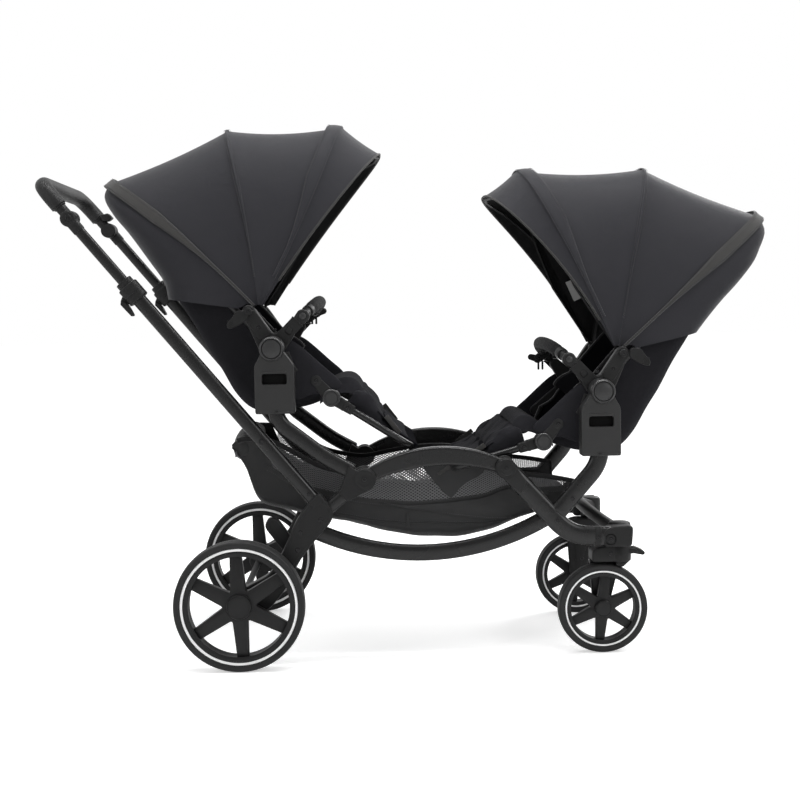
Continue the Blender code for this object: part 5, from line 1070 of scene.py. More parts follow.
for side, hand in ((-1, "right"), (1, "left")):
    inner = (x > 0.052) & (x < 0.714)
    share = np.linspace(0, 1, 15)[None, :]
    start = np.maximum(reach[inner] - 0.012, 0.5)[:, None]
    net_grid = basket_row(x[inner][:, None], side * (start + (1.0 - start) * share))
    net = cloth("basket_net_" + hand, net_grid, 0.0004, basket_net, basket_net, (0, side, 0))
    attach(net, "rear_frame")
    declared(net_grid)

    def on_side(points, lift=0.0):
        """Points given as (x, height) laid on the side of the bag, lifted off it."""
        points = np.asarray(points, float)
        laid = basket_row(points[:, 0], side * height_share(points[:, 0], points[:, 1]))
        return laid + (0.0, side * lift, 0.0)

    hem_path = on_side(np.stack([x[inner], np.interp(x[inner], net_line[:, 0], net_line[:, 1])], -1),
        0.0006)
    hem = rod("hem", hem_path, oval(0.0016, 0.013, 3.0, 14), basket_cloth, across=(0, 1.0, 0.0),
        ends=0.0006)
    low_path = flow([(0.14, 0.338), (0.263, 0.304), (0.412, 0.291), (0.578, 0.294), (0.68, 0.33)], 90)
    welt = rod("welt", on_side(low_path, 0.0008), oval(0.0022, 0.003, 2.0, 12), basket_cloth,
        across=(0, 1.0, 0), ends=0.0008)
    fold_line = flow([(0.3, 0.336), (0.36, 0.325), (0.434, 0.311), (0.52, 0.3), (0.602, 0.296),
        (0.655, 0.32), (0.676, 0.352)], 60)
    top_line = np.stack([fold_line[:, 0], np.interp(fold_line[:, 0], net_line[:, 0], net_line[:, 1])
        - 0.002], -1)
    top_line[:, 1] = np.maximum(top_line[:, 1], fold_line[:, 1] + 0.0008)
    mix = np.linspace(0, 1, 13)[:, None, None]
    flap_points = fold_line[None] * (1 - mix) + top_line[None] * mix
    bulge = 0.0026 + 0.0055 * np.sin(np.pi * np.clip(mix[..., 0] * 0.8, 0, 1)) * np.sin(
        np.linspace(0.1, np.pi, 60))[None]
    flap_grid = basket_row(flap_points[..., 0], side * height_share(flap_points[..., 0],
                                                                   flap_points[..., 1]))
    flap_grid = flap_grid + np.stack([0 * bulge, side * bulge, 0 * bulge], -1)
    flap = cloth("basket_flap_" + hand, flap_grid, 0.0012, basket_cloth, basket_cloth, (0, side, 0))
    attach(flap, "rear_frame")
    declared(flap_grid)

    patch = slab("patch", rounded_loop([(0.396, 0.424), (0.401, 0.41), (0.422, 0.384), (0.446, 0.356),
        (0.46, 0.344), (0.476, 0.364), (0.494, 0.38), (0.522, 0.393), (0.534, 0.404), (0.532, 0.414),
        (0.47, 0.425), (0.43, 0.427)], 0.005), 0.0, 0.0014, 0.0005, basket_cloth)
    tab = slab("tab", rounded_loop([(0.3605, 0.316), (0.3675, 0.3155), (0.3675, 0.284), (0.3605, 0.2845)],
        0.001), 0.0, 0.0012, 0.0004, basket_cloth)
    # A short strap loop in the pale grey tape. Its light colour is a painted glint, standing in for light
    # caught on a buckle there.
    loop_strap = slab("loop", rounded_loop([(0.43, 0.402), (0.456, 0.419), (0.46, 0.413), (0.434, 0.396)],
        0.0015), 0.0016, 0.003, 0.0005, tape)
    for flat in (patch, tab, loop_strap):
        spots = spots_of(flat.data)
        base = basket_row(spots[:, 0] - AXLE_X, side * height_share(spots[:, 0] - AXLE_X, spots[:, 2]))
        spots[:, 1] = base[:, 1] + side * (0.001 + spots[:, 1])
        put_spots(flat.data, spots)
        faced_out(flat.data)
    trim = joined("basket_trim_" + hand, [hem, welt, patch, tab, loop_strap])
    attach(trim, "rear_frame")
    out = np.array((0.0, side, 0.0))
    sewn = stitches("basket_stitches_" + hand, [(on_side(low_path + (0, 0.004), 0.0008), out),
        (hem_path + out * 0.0006 + (0, 0, 0.0045), out), (hem_path + out * 0.0006 - (0, 0, 0.0045), out),
        (on_side(fold_line + (0, 0.0045), 0.0045)[2:-6], out)], thread_pale, thick=0.0003)
    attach(sewn, "rear_frame")

rim_sides = [rod("rim", basket_row(x[2:], side), oval(0.0052, 0.011, 2.6, 18), binding_black,
    across=(0, 1.0, 0.15), ends=0.001) for side in (-1.0, 1.0)]
lip_path = basket_row(BAG_FRONT, np.linspace(1.0, -1.0, 61))
lip_tape = rod("lip", lip_path, oval(0.0048, 0.009, 2.6, 16), binding_black, across=(1.0, 0, 0.0),
    ends=0.001)
rim_both = joined("basket_rim", [*rim_sides, lip_tape])
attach(rim_both, "rear_frame")

# The roll along the rear lip: a soft hem of the same cloth, drawn in a little along its length.
s = np.linspace(-1, 1, 81)
roll_path = np.stack([0.0035 + 0.004 * s ** 2, 0.172 * s, 0.469 - 0.006 * s ** 2], -1)
swell = 1 - 0.22 * np.abs(s) ** 6 + 0.025 * np.sin(21 * s) + 0.02 * np.sin(47 * s + 1)
roll = rod("basket_lip_roll", roll_path, oval(0.05, 0.064, 2.1, 40), basket_cloth, across=(1.0, 0, -0.35),
    scale=np.stack([swell, swell], -1), ends=0.016)
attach(roll, "rear_frame")
label = slab("basket_label", rounded_loop([(-0.012, 0.456), (-0.007, 0.4585), (-0.006, 0.447),
    (-0.011, 0.445)], 0.0006), -0.1905, -0.1895, 0.0004, thread_pale)
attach(label, "rear_frame")


# Seat adapters: a thick moulded plate slides over each stub, with a blind finger slot in its face,
# and carries a round hub whose domed button frees the seat's tilt.
def around(outline, centre, count=240):
    """An outline as count points at even angles about a centre that sees all of it."""
    outline = np.asarray(outline, float) - centre
    dense = np.concatenate([outline + (np.roll(outline, -1, 0) - outline) * f
                            for f in np.linspace(0, 1, 24, endpoint=False)])
    angle = np.arctan2(dense[:, 1], dense[:, 0])
    order = np.argsort(angle)
    want = np.linspace(-np.pi, np.pi, count, endpoint=False)
    reach = np.interp(want, angle[order], np.linalg.norm(dense[order], axis=1), period=2 * np.pi)
    return centre + reach[:, None] * np.stack([np.cos(want), np.sin(want)], -1)


def pierced(name, outline, hole, low, high, depth, edge, look):
    """A plate with a blind slot in its face at y = low: rings run round the rim, in over the face
    to the slot's lip, down its wall and over its floor, each ring the two outlines at even angles."""
    centre = np.mean(np.asarray(hole, float), axis=0)
    rim, lip = around(outline, centre), around(hole, centre)
    far = np.linalg.norm(rim - centre, axis=1, keepdims=True)
    near = np.linalg.norm(lip - centre, axis=1, keepdims=True)
    rings = [(rim, -edge, high), (rim, -0.3 * edge, high - 0.3 * edge), (rim, 0, high - edge),
             (rim, 0, low + edge), (rim, -0.3 * edge, low + 0.3 * edge), (rim, -edge, low),
             (lip, 0.0016, low), (lip, 0.0006, low + 0.0003), (lip, 0.0, low + 0.001),
             (lip, 0.0, low + depth), (lip, -0.004, low + depth)]
    points = [in_plane(centre + (loop - centre) * (1 + grow / (far if loop is rim else near)), level)
              for loop, grow, level in rings]
    made = capped(name, np.stack(points), look, 55.0)
    made.modifiers.new("face_normals", "WEIGHTED_NORMAL").keep_sharp = True
    return made


plate_grey = finish_of("adapter_plastic", (0.0172, 0.0172, 0.0173), 0.46, scale=2600.0, depth=0.14,
    sway=0.08, gloss=0.4)
hub_grey = finish_of("hub_plastic", (0.0185, 0.0185, 0.019), 0.36, scale=2600.0, depth=0.1, gloss=0.5)
# A near-black finish that paints shade into recesses: on the floor of the adapters' slots and round the
# brackets' release rings.
painted_shade_black = finish_of("painted_shade_black", (0.0035, 0.0035, 0.0035), 0.8, dust=0.0, gloss=0.1)
UNITS = {"rear": ((0.078, 0.683), 1), "front": ((0.785, 0.579), -1)}


def facing(unit, points):
    """Places measured from a seat's hub, forward the way its child looks, as (x, z)."""
    hub, way = UNITS[unit]
    points = np.asarray(points, float)
    return np.stack([hub[0] + way * points[..., 0], hub[1] + points[..., 1]], -1)


for unit, (hub, way) in UNITS.items():
    body_line = rounded_loop(facing(unit, [(-0.0375, -0.139), (0.0475, -0.139), (0.0475, -0.036),
        (0.024, -0.004), (-0.022, -0.008), (-0.0375, -0.036)]), [0.005, 0.005, 0.006, 0.004, 0.004, 0.006],
        5)
    slot_line = rounded_loop(facing(unit, [(-0.022, -0.076), (0.031, -0.076), (0.031, -0.0535),
        (-0.022, -0.0535)]), [0.0045, 0.0045, 0.006, 0.006], 5)
    plate = pierced("adapter", body_line, slot_line, low=-0.262, high=-0.2222, depth=0.0105, edge=0.0022,
        look=plate_grey)
    # A near-black sheet on the slot's floor: painted shade in the recess.
    painted_slot_shade = slab("painted_slot_shade", facing(unit, [(-0.0215, -0.0755), (0.0305, -0.0755), (0.0305, -0.054),
        (-0.0215, -0.054)]), -0.2524, -0.251, 0.0003, painted_shade_black)
    ledge = slab("ledge", rounded_loop(facing(unit, [(-0.0225, -0.0532), (0.0315, -0.0532), (0.03, -0.047),
        (-0.021, -0.047)]), 0.003, 4), -0.2634, -0.26, 0.0012, plate_grey)
    foot = slab("foot", rounded_loop(facing(unit, [(-0.036, -0.1385), (0.046, -0.1385), (0.046, -0.134),
        (-0.036, -0.134)]), 0.001, 3), -0.2628, -0.26, 0.0006, plate_grey)
    hub_ring = lathe("hub_ring", [(0.0209, -0.256), (0.0209, -0.2655), (0.0214, -0.2668), (0.0228, -0.2671),
        (0.0252, -0.2655), (0.0265, -0.2625), (0.0268, -0.258), (0.0268, -0.2228), (0.0209, -0.2228)], hub,
        hub_grey, 72)
    well = lathe("well", [(0.0, -0.254), (0.021, -0.254), (0.021, -0.2515), (0.0, -0.2515)], hub, moulded,
        72)
    catch = slab("catch", rounded_loop(facing(unit, [(0.005, -0.136), (0.012, -0.136), (0.012, -0.131),
        (0.005, -0.131)]), 0.001), -0.264, -0.261, 0.0006, moulded)
    dress = joined(unit + "_adapter", [plate, painted_slot_shade, ledge, foot, hub_ring, well, catch])
    both_sides(dress, unit + "_seat_mount", unit + "_adapter_{}")
    r = np.linspace(0, 1, 12)
    dome = np.stack([0.0188 * r, -0.2664 - 0.0024 * (1 - r ** 2.0)], -1)
    button = lathe(unit + "_tilt_cap",
        np.concatenate([dome, [(0.0196, -0.2664), (0.0201, -0.2652), (0.0201, -0.2606), (0.0, -0.2606)]]),
        hub, hub_grey, 72)
    both_sides(button, unit + "_tilt_button_{}", unit + "_tilt_button_{}")


# Seat frames: a moulded bracket each side joins the hub, the guard bar's socket, the canopy's stud
# and the knee arm. A bent steel hoop behind the back rest ties the two together.
def star_outline(tips, valley, step=(-90, -55, -20, 20, 55, 90)):
    """Round-ended arms about a hub, with one point at distance valley between each two arms."""
    outline = []
    for k, (end, width) in enumerate(tips):
        end = np.asarray(end, float)
        heading = np.arctan2(end[1], end[0])
        a = heading + np.radians(step)
        outline.append(end + width / 2 * np.stack([np.cos(a), np.sin(a)], -1))
        after = tips[(k + 1) % len(tips)][0]
        gap = np.arctan2(after[1], after[0]) - heading
        a = heading + (gap % (2 * np.pi)) / 2
        outline.append([(valley * np.cos(a), valley * np.sin(a))])
    return np.concatenate(outline)


def capsule(start, end, first, last, count=14):
    """The outline of a bar between two round ends, first and last across."""
    start, end = np.asarray(start, float), np.asarray(end, float)
    heading = np.arctan2(*(end - start)[::-1])
    a = heading + np.linspace(np.pi / 2, 3 * np.pi / 2, count)
    b = heading + np.linspace(-np.pi / 2, np.pi / 2, count)
    return np.concatenate([start + first / 2 * np.stack([np.cos(a), np.sin(a)], -1),
                           end + last / 2 * np.stack([np.cos(b), np.sin(b)], -1)])


ARM_TILT, SEAT_REACH = math.radians(46), 0.388
REACH = np.array((math.cos(ARM_TILT), math.sin(ARM_TILT)))
SIDE = np.array((-REACH[1], REACH[0]))
STUD, KNEE, SHIN = (-0.05, 0.08), (0.092, -0.072), (0.124, -0.11)
for unit, (hub, way) in UNITS.items():
    arms = slab("arms",
        facing(unit, rounded_loop(star_outline([(REACH * 0.058, 0.027), (STUD, 0.029),
        ((0.006, -0.012), 0.036)], 0.0285), 0.012, 5)), -0.2212, -0.1966, 0.004, moulded, 4)
    knee_arm = slab("knee_arm", facing(unit, capsule((0.01, -0.008), KNEE, 0.03, 0.024)), -0.212, -0.1966,
        0.003, moulded)
    knee = slab("knee", facing(unit, capsule(KNEE, SHIN, 0.0225, 0.03)), -0.221, -0.2089, 0.003, moulded, 4)
    knee_disc = lathe("knee_disc", [(0.0, -0.2226), (0.01, -0.2226), (0.0118, -0.2214), (0.0118, -0.213),
        (0.0, -0.213)], facing(unit, KNEE), moulded, 48)
    shin_ring = lathe("shin_ring", [(0.0, -0.2232), (0.0128, -0.2232), (0.0134, -0.2224), (0.0142, -0.2224),
        (0.015, -0.2236), (0.0178, -0.2236), (0.0192, -0.2222), (0.0194, -0.209), (0.0, -0.209)],
        facing(unit, SHIN), hub_grey, 64)
    sleeve = slab("sleeve", facing(unit, capsule(np.array(STUD) * 0.42, np.array(STUD) * 0.86, 0.03,
        0.028)), -0.2228, -0.219, 0.0016, moulded)
    stud = lathe("stud", [(0.0, -0.2255), (0.0062, -0.2255), (0.0072, -0.2246), (0.0072, -0.22),
        (0.0, -0.22)], facing(unit, STUD), fastener, 40)
    socket = slab("socket", facing(unit, [REACH * 0.03 + SIDE * 0.0148, REACH * 0.03 - SIDE * 0.0148,
        REACH * 0.078 - SIDE * 0.0148, REACH * 0.078 + SIDE * 0.0148]), -0.2226, -0.219, 0.0014, moulded)
    lip_line = slab("lip", facing(unit, [REACH * 0.0772 + SIDE * 0.0156, REACH * 0.0772 - SIDE * 0.0156,
        REACH * 0.08 - SIDE * 0.0156, REACH * 0.08 + SIDE * 0.0156]), -0.2232, -0.219, 0.0006, moulded)
    d_shape = [REACH * 0.0445 + SIDE * 0.0058, REACH * 0.0455 - SIDE * 0.007, REACH * 0.059 - SIDE * 0.005,
               REACH * 0.057 + SIDE * 0.0062]
    d_middle = np.mean(d_shape, axis=0)
    # A near-black plate a little larger than the release ring shows round its edge: painted shade for the
    # groove it sits in.
    painted_groove_shade = slab("groove", facing(unit, rounded_loop(d_middle + 1.16 * (d_shape - d_middle), 0.005, 5)),
        -0.2231, -0.22, 0.0003, painted_shade_black)
    d_ring = slab("release", facing(unit, rounded_loop(np.array(d_shape), 0.0045, 5)), -0.2243, -0.22,
        0.0012, moulded)
    tongue = rod("tongue", in_plane(facing(unit, [(0.03, -0.01), (0.038, -0.032), (0.048, -0.05)]),
        -0.2215), oval(0.004, 0.012, 2.6, 20), moulded, ends=0.0015)
    screws = [screw(facing(unit, p), f, r) for p, f, r in ((KNEE, -0.2228, 0.0042),
        ((-0.029, 0.046), -0.223, 0.0034), ((0.036, -0.03), -0.2236, 0.0028), ((0.006, 0.04), -0.2213,
        0.0028))]
    frame_side = joined(unit + "_bracket", [arms, knee_arm, knee, knee_disc, shin_ring, sleeve, stud,
        socket, lip_line, painted_groove_shade, d_ring, tongue, *screws])
    both_sides(frame_side, unit + "_seat", None)
    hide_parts(unit + "_seat_frame")

    low, top = np.array((-0.022, 0.02)), np.array((-0.74, 0.773)) * SEAT_REACH
    foot = facing(unit, low)
    crown = facing(unit, top)
    path = bent([(foot[0], -0.199, foot[1]), (foot[0], -0.1695, foot[1]), (crown[0], -0.1695, crown[1]),
        (crown[0], 0.1695, crown[1]), (foot[0], 0.1695, foot[1]), (foot[0], 0.199, foot[1])], 0.11, 18,
        0.007)
    hoop = rod(unit + "_back_hoop", path, oval(0.015, 0.015, 2.0, 24), painted, across=(way * 0.75, 0, 0.7))
    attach(hoop, unit + "_seat")

    # The ribbed paddle that locks the canopy's middle bow, on the stud of each bracket.
    hang = np.array(STUD) + ((-0.012, -0.01) if way > 0 else (-0.024, -0.002))
    paddle_line = [hang + p for p in ((-0.012, 0.013), (0.01, 0.012), (0.013, -0.006), (-0.002, -0.016),
        (-0.02, -0.025), (-0.032, -0.027), (-0.035, -0.016), (-0.024, -0.004))]
    paddle = slab("paddle", facing(unit, rounded_loop(paddle_line, 0.007, 5)), -0.233, -0.2258, 0.0018,
        moulded, 4)
    ribs = [rod("rib",
        in_plane(facing(unit, [hang + (-0.0215 - 0.0035 * k, -0.0085), hang + (-0.0165 - 0.0035 * k,
        -0.0215)]), -0.2333), oval(0.001, 0.0014, 2.0, 10), moulded, ends=0.0004) for k in range(4)]
    eye = lathe("eye", [(0.0, -0.2355), (0.0072, -0.2355), (0.0085, -0.2344), (0.0085, -0.232),
        (0.0, -0.232)], facing(unit, STUD), moulded, 48)
    lever_piece = joined(unit + "_canopy_lever", [paddle, *ribs, eye, screw(facing(unit, STUD), -0.2357,
        0.0032)])
    both_sides(lever_piece, unit + "_seat")

    # The canopy bows: flat steel wires on round eyes that turn on the studs.
    for tail, span in (("mid", 0.1865), ("front", 0.1789)):
        eye_face = -span - 0.0035
        ring = lathe(unit + "_" + tail + "_bow_eye", [(0.0043, eye_face), (0.01, eye_face),
            (0.011, eye_face + 0.0008), (0.011, eye_face + 0.0062), (0.01, eye_face + 0.007),
            (0.0043, eye_face + 0.007)], facing(unit, STUD), moulded, 48)
        both_sides(ring, unit + "_canopy_" + tail)


# Seat slings: one length of padded cloth makes the back, the seat and its side walls, bound at the
# edge. A quilted liner lies in it, with wings of the same cloth between the frame's arms.
seat_cloth = cloth_of("seat_cloth", (0.0185, 0.0183, 0.0208), (0.034, 0.034, 0.038), 0.95, pitch=0.001,
    share=0.3, pucker=0.55, sheen=0.04, gloss=0.02)
liner_cloth = cloth_of("liner_cloth", (0.007, 0.007, 0.0084), (0.015, 0.015, 0.018), 0.78, pitch=0.0012,
    share=0.35, pucker=0.4, sheen=0.02, gloss=0.0)
webbing = cloth_of("black_webbing", (0.006, 0.006, 0.0062), (0.014, 0.014, 0.015), 0.62, pitch=0.0016,
    depth=0.8, pucker=0.1)


def puffed(piece, voxel=0.005, cap=0.008, pressure=4.0):
    """Blows a closed piece up as its filling does: remeshed evenly, then a cloth under pressure.

    No point moves further than cap.
    """
    even = piece.modifiers.new("even", "REMESH")
    even.mode, even.voxel_size = "VOXEL", voxel
    scene = bpy.context.scene
    mesh = bpy.data.meshes.new_from_object(piece.evaluated_get(bpy.context.evaluated_depsgraph_get()))
    piece.modifiers.clear()
    piece.data = mesh
    filling = piece.modifiers.new("filling", "CLOTH")
    filling.settings.use_pressure = True
    filling.settings.uniform_pressure_force = pressure
    filling.settings.effector_weights.gravity = 0.0
    filling.settings.quality = 5
    filling.point_cache.frame_start, filling.point_cache.frame_end = 1, 20
    for frame_number in range(1, 21):
        scene.frame_set(frame_number)
    blown = bpy.data.meshes.new_from_object(piece.evaluated_get(bpy.context.evaluated_depsgraph_get()))
    before = spots_of(mesh)
    move = spots_of(blown) - before
    far = np.linalg.norm(move, axis=1, keepdims=True)
    put_spots(mesh, before + move * np.minimum(1.0, cap / np.maximum(far, 1e-9)))
    piece.modifiers.clear()
    scene.frame_set(1)
    mesh.update()
    mesh.shade_smooth()
    finer = piece.modifiers.new("finer", "SUBSURF")
    finer.levels = finer.render_levels = 1
    mesh = bpy.data.meshes.new_from_object(piece.evaluated_get(bpy.context.evaluated_depsgraph_get()))
    piece.modifiers.clear()
    piece.data = mesh
    mesh.shade_smooth()
    return piece


def box_uv(piece):
    """uv in metres for a remeshed pad, taken along y and along whichever of x and z it runs."""
    mesh = piece.data
    spots = spots_of(mesh)
    corners = np.zeros(len(mesh.loops), np.int64)
    mesh.loops.foreach_get("vertex_index", corners)
    run = (spots[:, 0] - spots[:, 2]) * 0.7071
    layer = mesh.uv_layers.get("lay") or mesh.uv_layers.new(name="lay")
    layer.data.foreach_set("uv", np.stack([spots[:, 1], run], -1)[corners].astype(np.float32).ravel())


def pillow(name, outline, low, high, look, power=3.0, steps=14):
    """A thin padded panel: its (x, z) outline shrinks to its middle as each face swells out.

    At share f of the outline each face stands half the thickness times (1 - f^power)^0.5 off the
    middle.
    """
    outline = np.asarray(outline, float)
    centre = outline.mean(0)
    f = np.concatenate([np.linspace(0.04, 1, steps) ** 0.6, np.linspace(1, 0.04, steps)[1:] ** 0.6])
    sign = np.concatenate([-np.ones(steps), np.ones(steps - 1)])
    level = (low + high) / 2 + sign * (high - low) / 2 * np.sqrt(np.maximum(1 - f ** power, 0))
    flat = centre + (outline - centre)[None] * f[:, None, None]
    level = np.broadcast_to(level[:, None], flat.shape[:2])
    made = capped(name, np.stack([flat[..., 0], level, flat[..., 1]], -1), look, 70.0)
    box_uv(made)
    return made


SLING = flow(np.array([(-0.732, 0.644, 0.031, 0.84), (-0.608, 0.433, 0.155, 0.97),
                       (-0.474, 0.211, 0.271, 1.0), (-0.314, -0.057, 0.34, 1.0),
                       (-0.206, -0.242, 0.387, 1.0), (-0.103, -0.335, 0.412, 1.0),
                       (0.052, -0.335, 0.374, 1.0), (0.18, -0.309, 0.258, 1.0),
                       (0.268, -0.273, 0.129, 0.97)]) * (SEAT_REACH, SEAT_REACH, SEAT_REACH, 1.0), 97)
SLING_RUN, SLING_WAY, SLING_HALF = run_of(SLING[:, :2]), headings(SLING[:, :2]), 0.147


def sling(unit, share, v, off=0.0):
    """Points of a seat: share of the way down its line, v across it, off above its cloth.

    y is half min(1, |v| / 0.6)^0.85 with the sign of v, and the wall stands up the line's normal by
    its height times max(0, (|v| - 0.5) / 0.5)^1.5.
    """
    share, v = np.broadcast_arrays(np.asarray(share, float), np.asarray(v, float))
    place = share * SLING_RUN[-1]
    x, z, wall, narrow = (np.interp(place, SLING_RUN, SLING[:, k]) for k in range(4))
    hx, hz = (np.interp(place, SLING_RUN, SLING_WAY[:, k]) for k in range(2))
    rise = np.maximum(0.0, (np.abs(v) - 0.5) / 0.5) ** 1.5 * wall + off
    wide = SLING_HALF * narrow * np.sign(v) * np.minimum(1.0, np.abs(v) / 0.6) ** 0.85
    hub, way = UNITS[unit]
    return np.stack([hub[0] + way * (x - hz * rise), wide, hub[1] + z + hx * rise], -1)


WING = [(0.004, -0.002), (0.03, 0.022), (0.055, 0.008), (0.079, -0.013), (0.112, -0.044), (0.138, -0.066),
    (0.15, -0.082), (0.136, -0.094), (0.104, -0.101), (0.084, -0.1), (0.063, -0.109), (0.045, -0.114),
    (0.006, -0.11)]
for unit, (hub, way) in UNITS.items():
    body = unit + "_seat"
    share = np.linspace(0, 1, 85)
    v = np.linspace(-1, 1, 61)
    grid = sling(unit, share[:, None], v[None, :])
    ripple = (0.0014 * np.sin(34 * grid[..., 0] + 9 * grid[..., 2]) * np.sin(29 * grid[..., 1] + 1.3)
              + 0.0008 * np.sin(61 * grid[..., 2] + 20 * grid[..., 1]))
    shell = cloth(unit + "_seat_sling", grid, 0.001, seat_cloth, liner_cloth, (-way, 0, -0.8),
        lift=0.01 + ripple)
    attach(shell, body)
    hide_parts(unit + "_seat_fabric")
    declared(grid)

    sides = [rod("edge", sling(unit, share, s_end) + (0.0, 0.005 * s_end, 0.0), oval(0.0135, 0.007, 2.4,
        16), binding_black, across=(0, 1.0, 0), ends=0.002) for s_end in (-1.0, 1.0)]
    knee_edge = rod("edge", sling(unit, 1.0, np.linspace(-1, 1, 61)), oval(0.01, 0.012, 2.4, 16),
        binding_black, across=(way, 0, 0), ends=0.002)
    top_edge = rod("edge", sling(unit, 0.0, np.linspace(-1, 1, 61)), oval(0.01, 0.012, 2.4, 16),
        binding_black, across=(way * 0.9, 0, 0.5), ends=0.002)
    bound = joined(unit + "_seat_binding", [*sides, knee_edge, top_edge])
    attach(bound, body)

    low_grid = sling(unit, np.linspace(0.05, 0.93, 70)[:, None], np.linspace(-0.54, 0.54, 41)[None, :],
        0.002)
    pad = cloth(unit + "_seat_liner", low_grid, 0.0, liner_cloth, liner_cloth, (way, 0, 0.8), lift=0.011)
    puffed(pad, 0.006, 0.008)
    spots = spots_of(pad.data)
    flat = np.stack([(spots[:, 0] - AXLE_X - hub[0]) * way, spots[:, 2] - hub[1]], -1)
    gaps = np.linalg.norm(flat[:, None] - SLING[None, :, :2], axis=2)
    near = gaps.argmin(1)
    run = SLING_RUN[near]
    seams = np.exp(-((run[:, None] - np.arange(0.075, 0.56, 0.066)[None]) / 0.005) ** 2).sum(1)
    ridge = np.exp(-((np.abs(spots[:, 1]) - 0.07) / 0.005) ** 2)
    deep = 0.0055 * np.clip(seams + 0.8 * ridge, 0, 1) * np.clip((gaps.min(1) - 0.004) / 0.006, 0, 1)
    spots[:, 0] += way * SLING_WAY[near, 1] * deep
    spots[:, 2] -= SLING_WAY[near, 0] * deep
    put_spots(pad.data, spots)
    box_uv(pad)
    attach(pad, body)

    wing = pillow(unit + "_seat_wing", rounded_loop(facing(unit, WING), 0.014, 6), -0.22, -0.208,
        seat_cloth, 5.0)
    for wing_side in both_sides(wing, body):
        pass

    # Five-point harness: webbing through slots in the liner, sleeves on the shoulders, one buckle.
    parts = []
    for side in (-1, 1):
        down = np.linspace(0.16, 0.8, 60)
        strap = sling(unit, down, 0.0, 0.0215)
        strap[:, 1] = side * (0.048 - 0.032 * np.clip((down - 0.16) / 0.62, 0, 1) ** 1.5)
        strap[:, 2] += 0.012 * np.sin(np.pi * np.clip((down - 0.2) / 0.6, 0, 1))
        parts.append(rod("strap", strap, oval(0.025, 0.0022, 5.0, 20), webbing, ends=0.0005))
        sleeve_pad = rod(unit + "_shoulder_pad_" + ("right" if side < 0 else "left"), strap[6:34],
            oval(0.048, 0.015, 2.6, 36), seat_cloth, ends=0.006)
        box_uv(sleeve_pad)
        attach(sleeve_pad, body)
        across = np.linspace(0.135, 0.03, 26)
        waist = sling(unit, 0.735, 0.0, 0.0225)[None] + np.stack(
            [0 * across, side * across, 0.01 * np.sin(np.pi * (across - 0.03) / 0.105)], -1)
        parts.append(rod("waist", waist, oval(0.025, 0.0022, 5.0, 20), webbing, across=(way * 0.8, 0,
            -0.35), ends=0.0005))
        parts.append(rod("slide", strap[38:42], oval(0.031, 0.0058, 4.0, 24), moulded, ends=0.001))
    crotch = sling(unit, np.linspace(0.8, 0.9, 14), 0.0, np.linspace(0.03, 0.014, 14))
    parts.append(rod("crotch", crotch, oval(0.03, 0.0022, 5.0, 20), webbing, ends=0.0005))
    straps = joined(unit + "_harness", parts)
    box_uv(straps)
    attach(straps, body)
    centre = sling(unit, 0.765, 0.0, 0.024)
    outer = sling(unit, 0.765, 0.0, 0.038)
    buckle = rod("buckle", np.linspace(centre, outer, 6), oval(0.052, 0.046, 3.6, 40), moulded, ends=0.003)
    press = rod("press", np.linspace(centre, outer + (outer - centre) * 0.12, 6), oval(0.026, 0.024, 2.6,
        36), hub_grey, ends=0.0012)
    clasp = joined(unit + "_buckle", [buckle, press])
    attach(clasp, body)


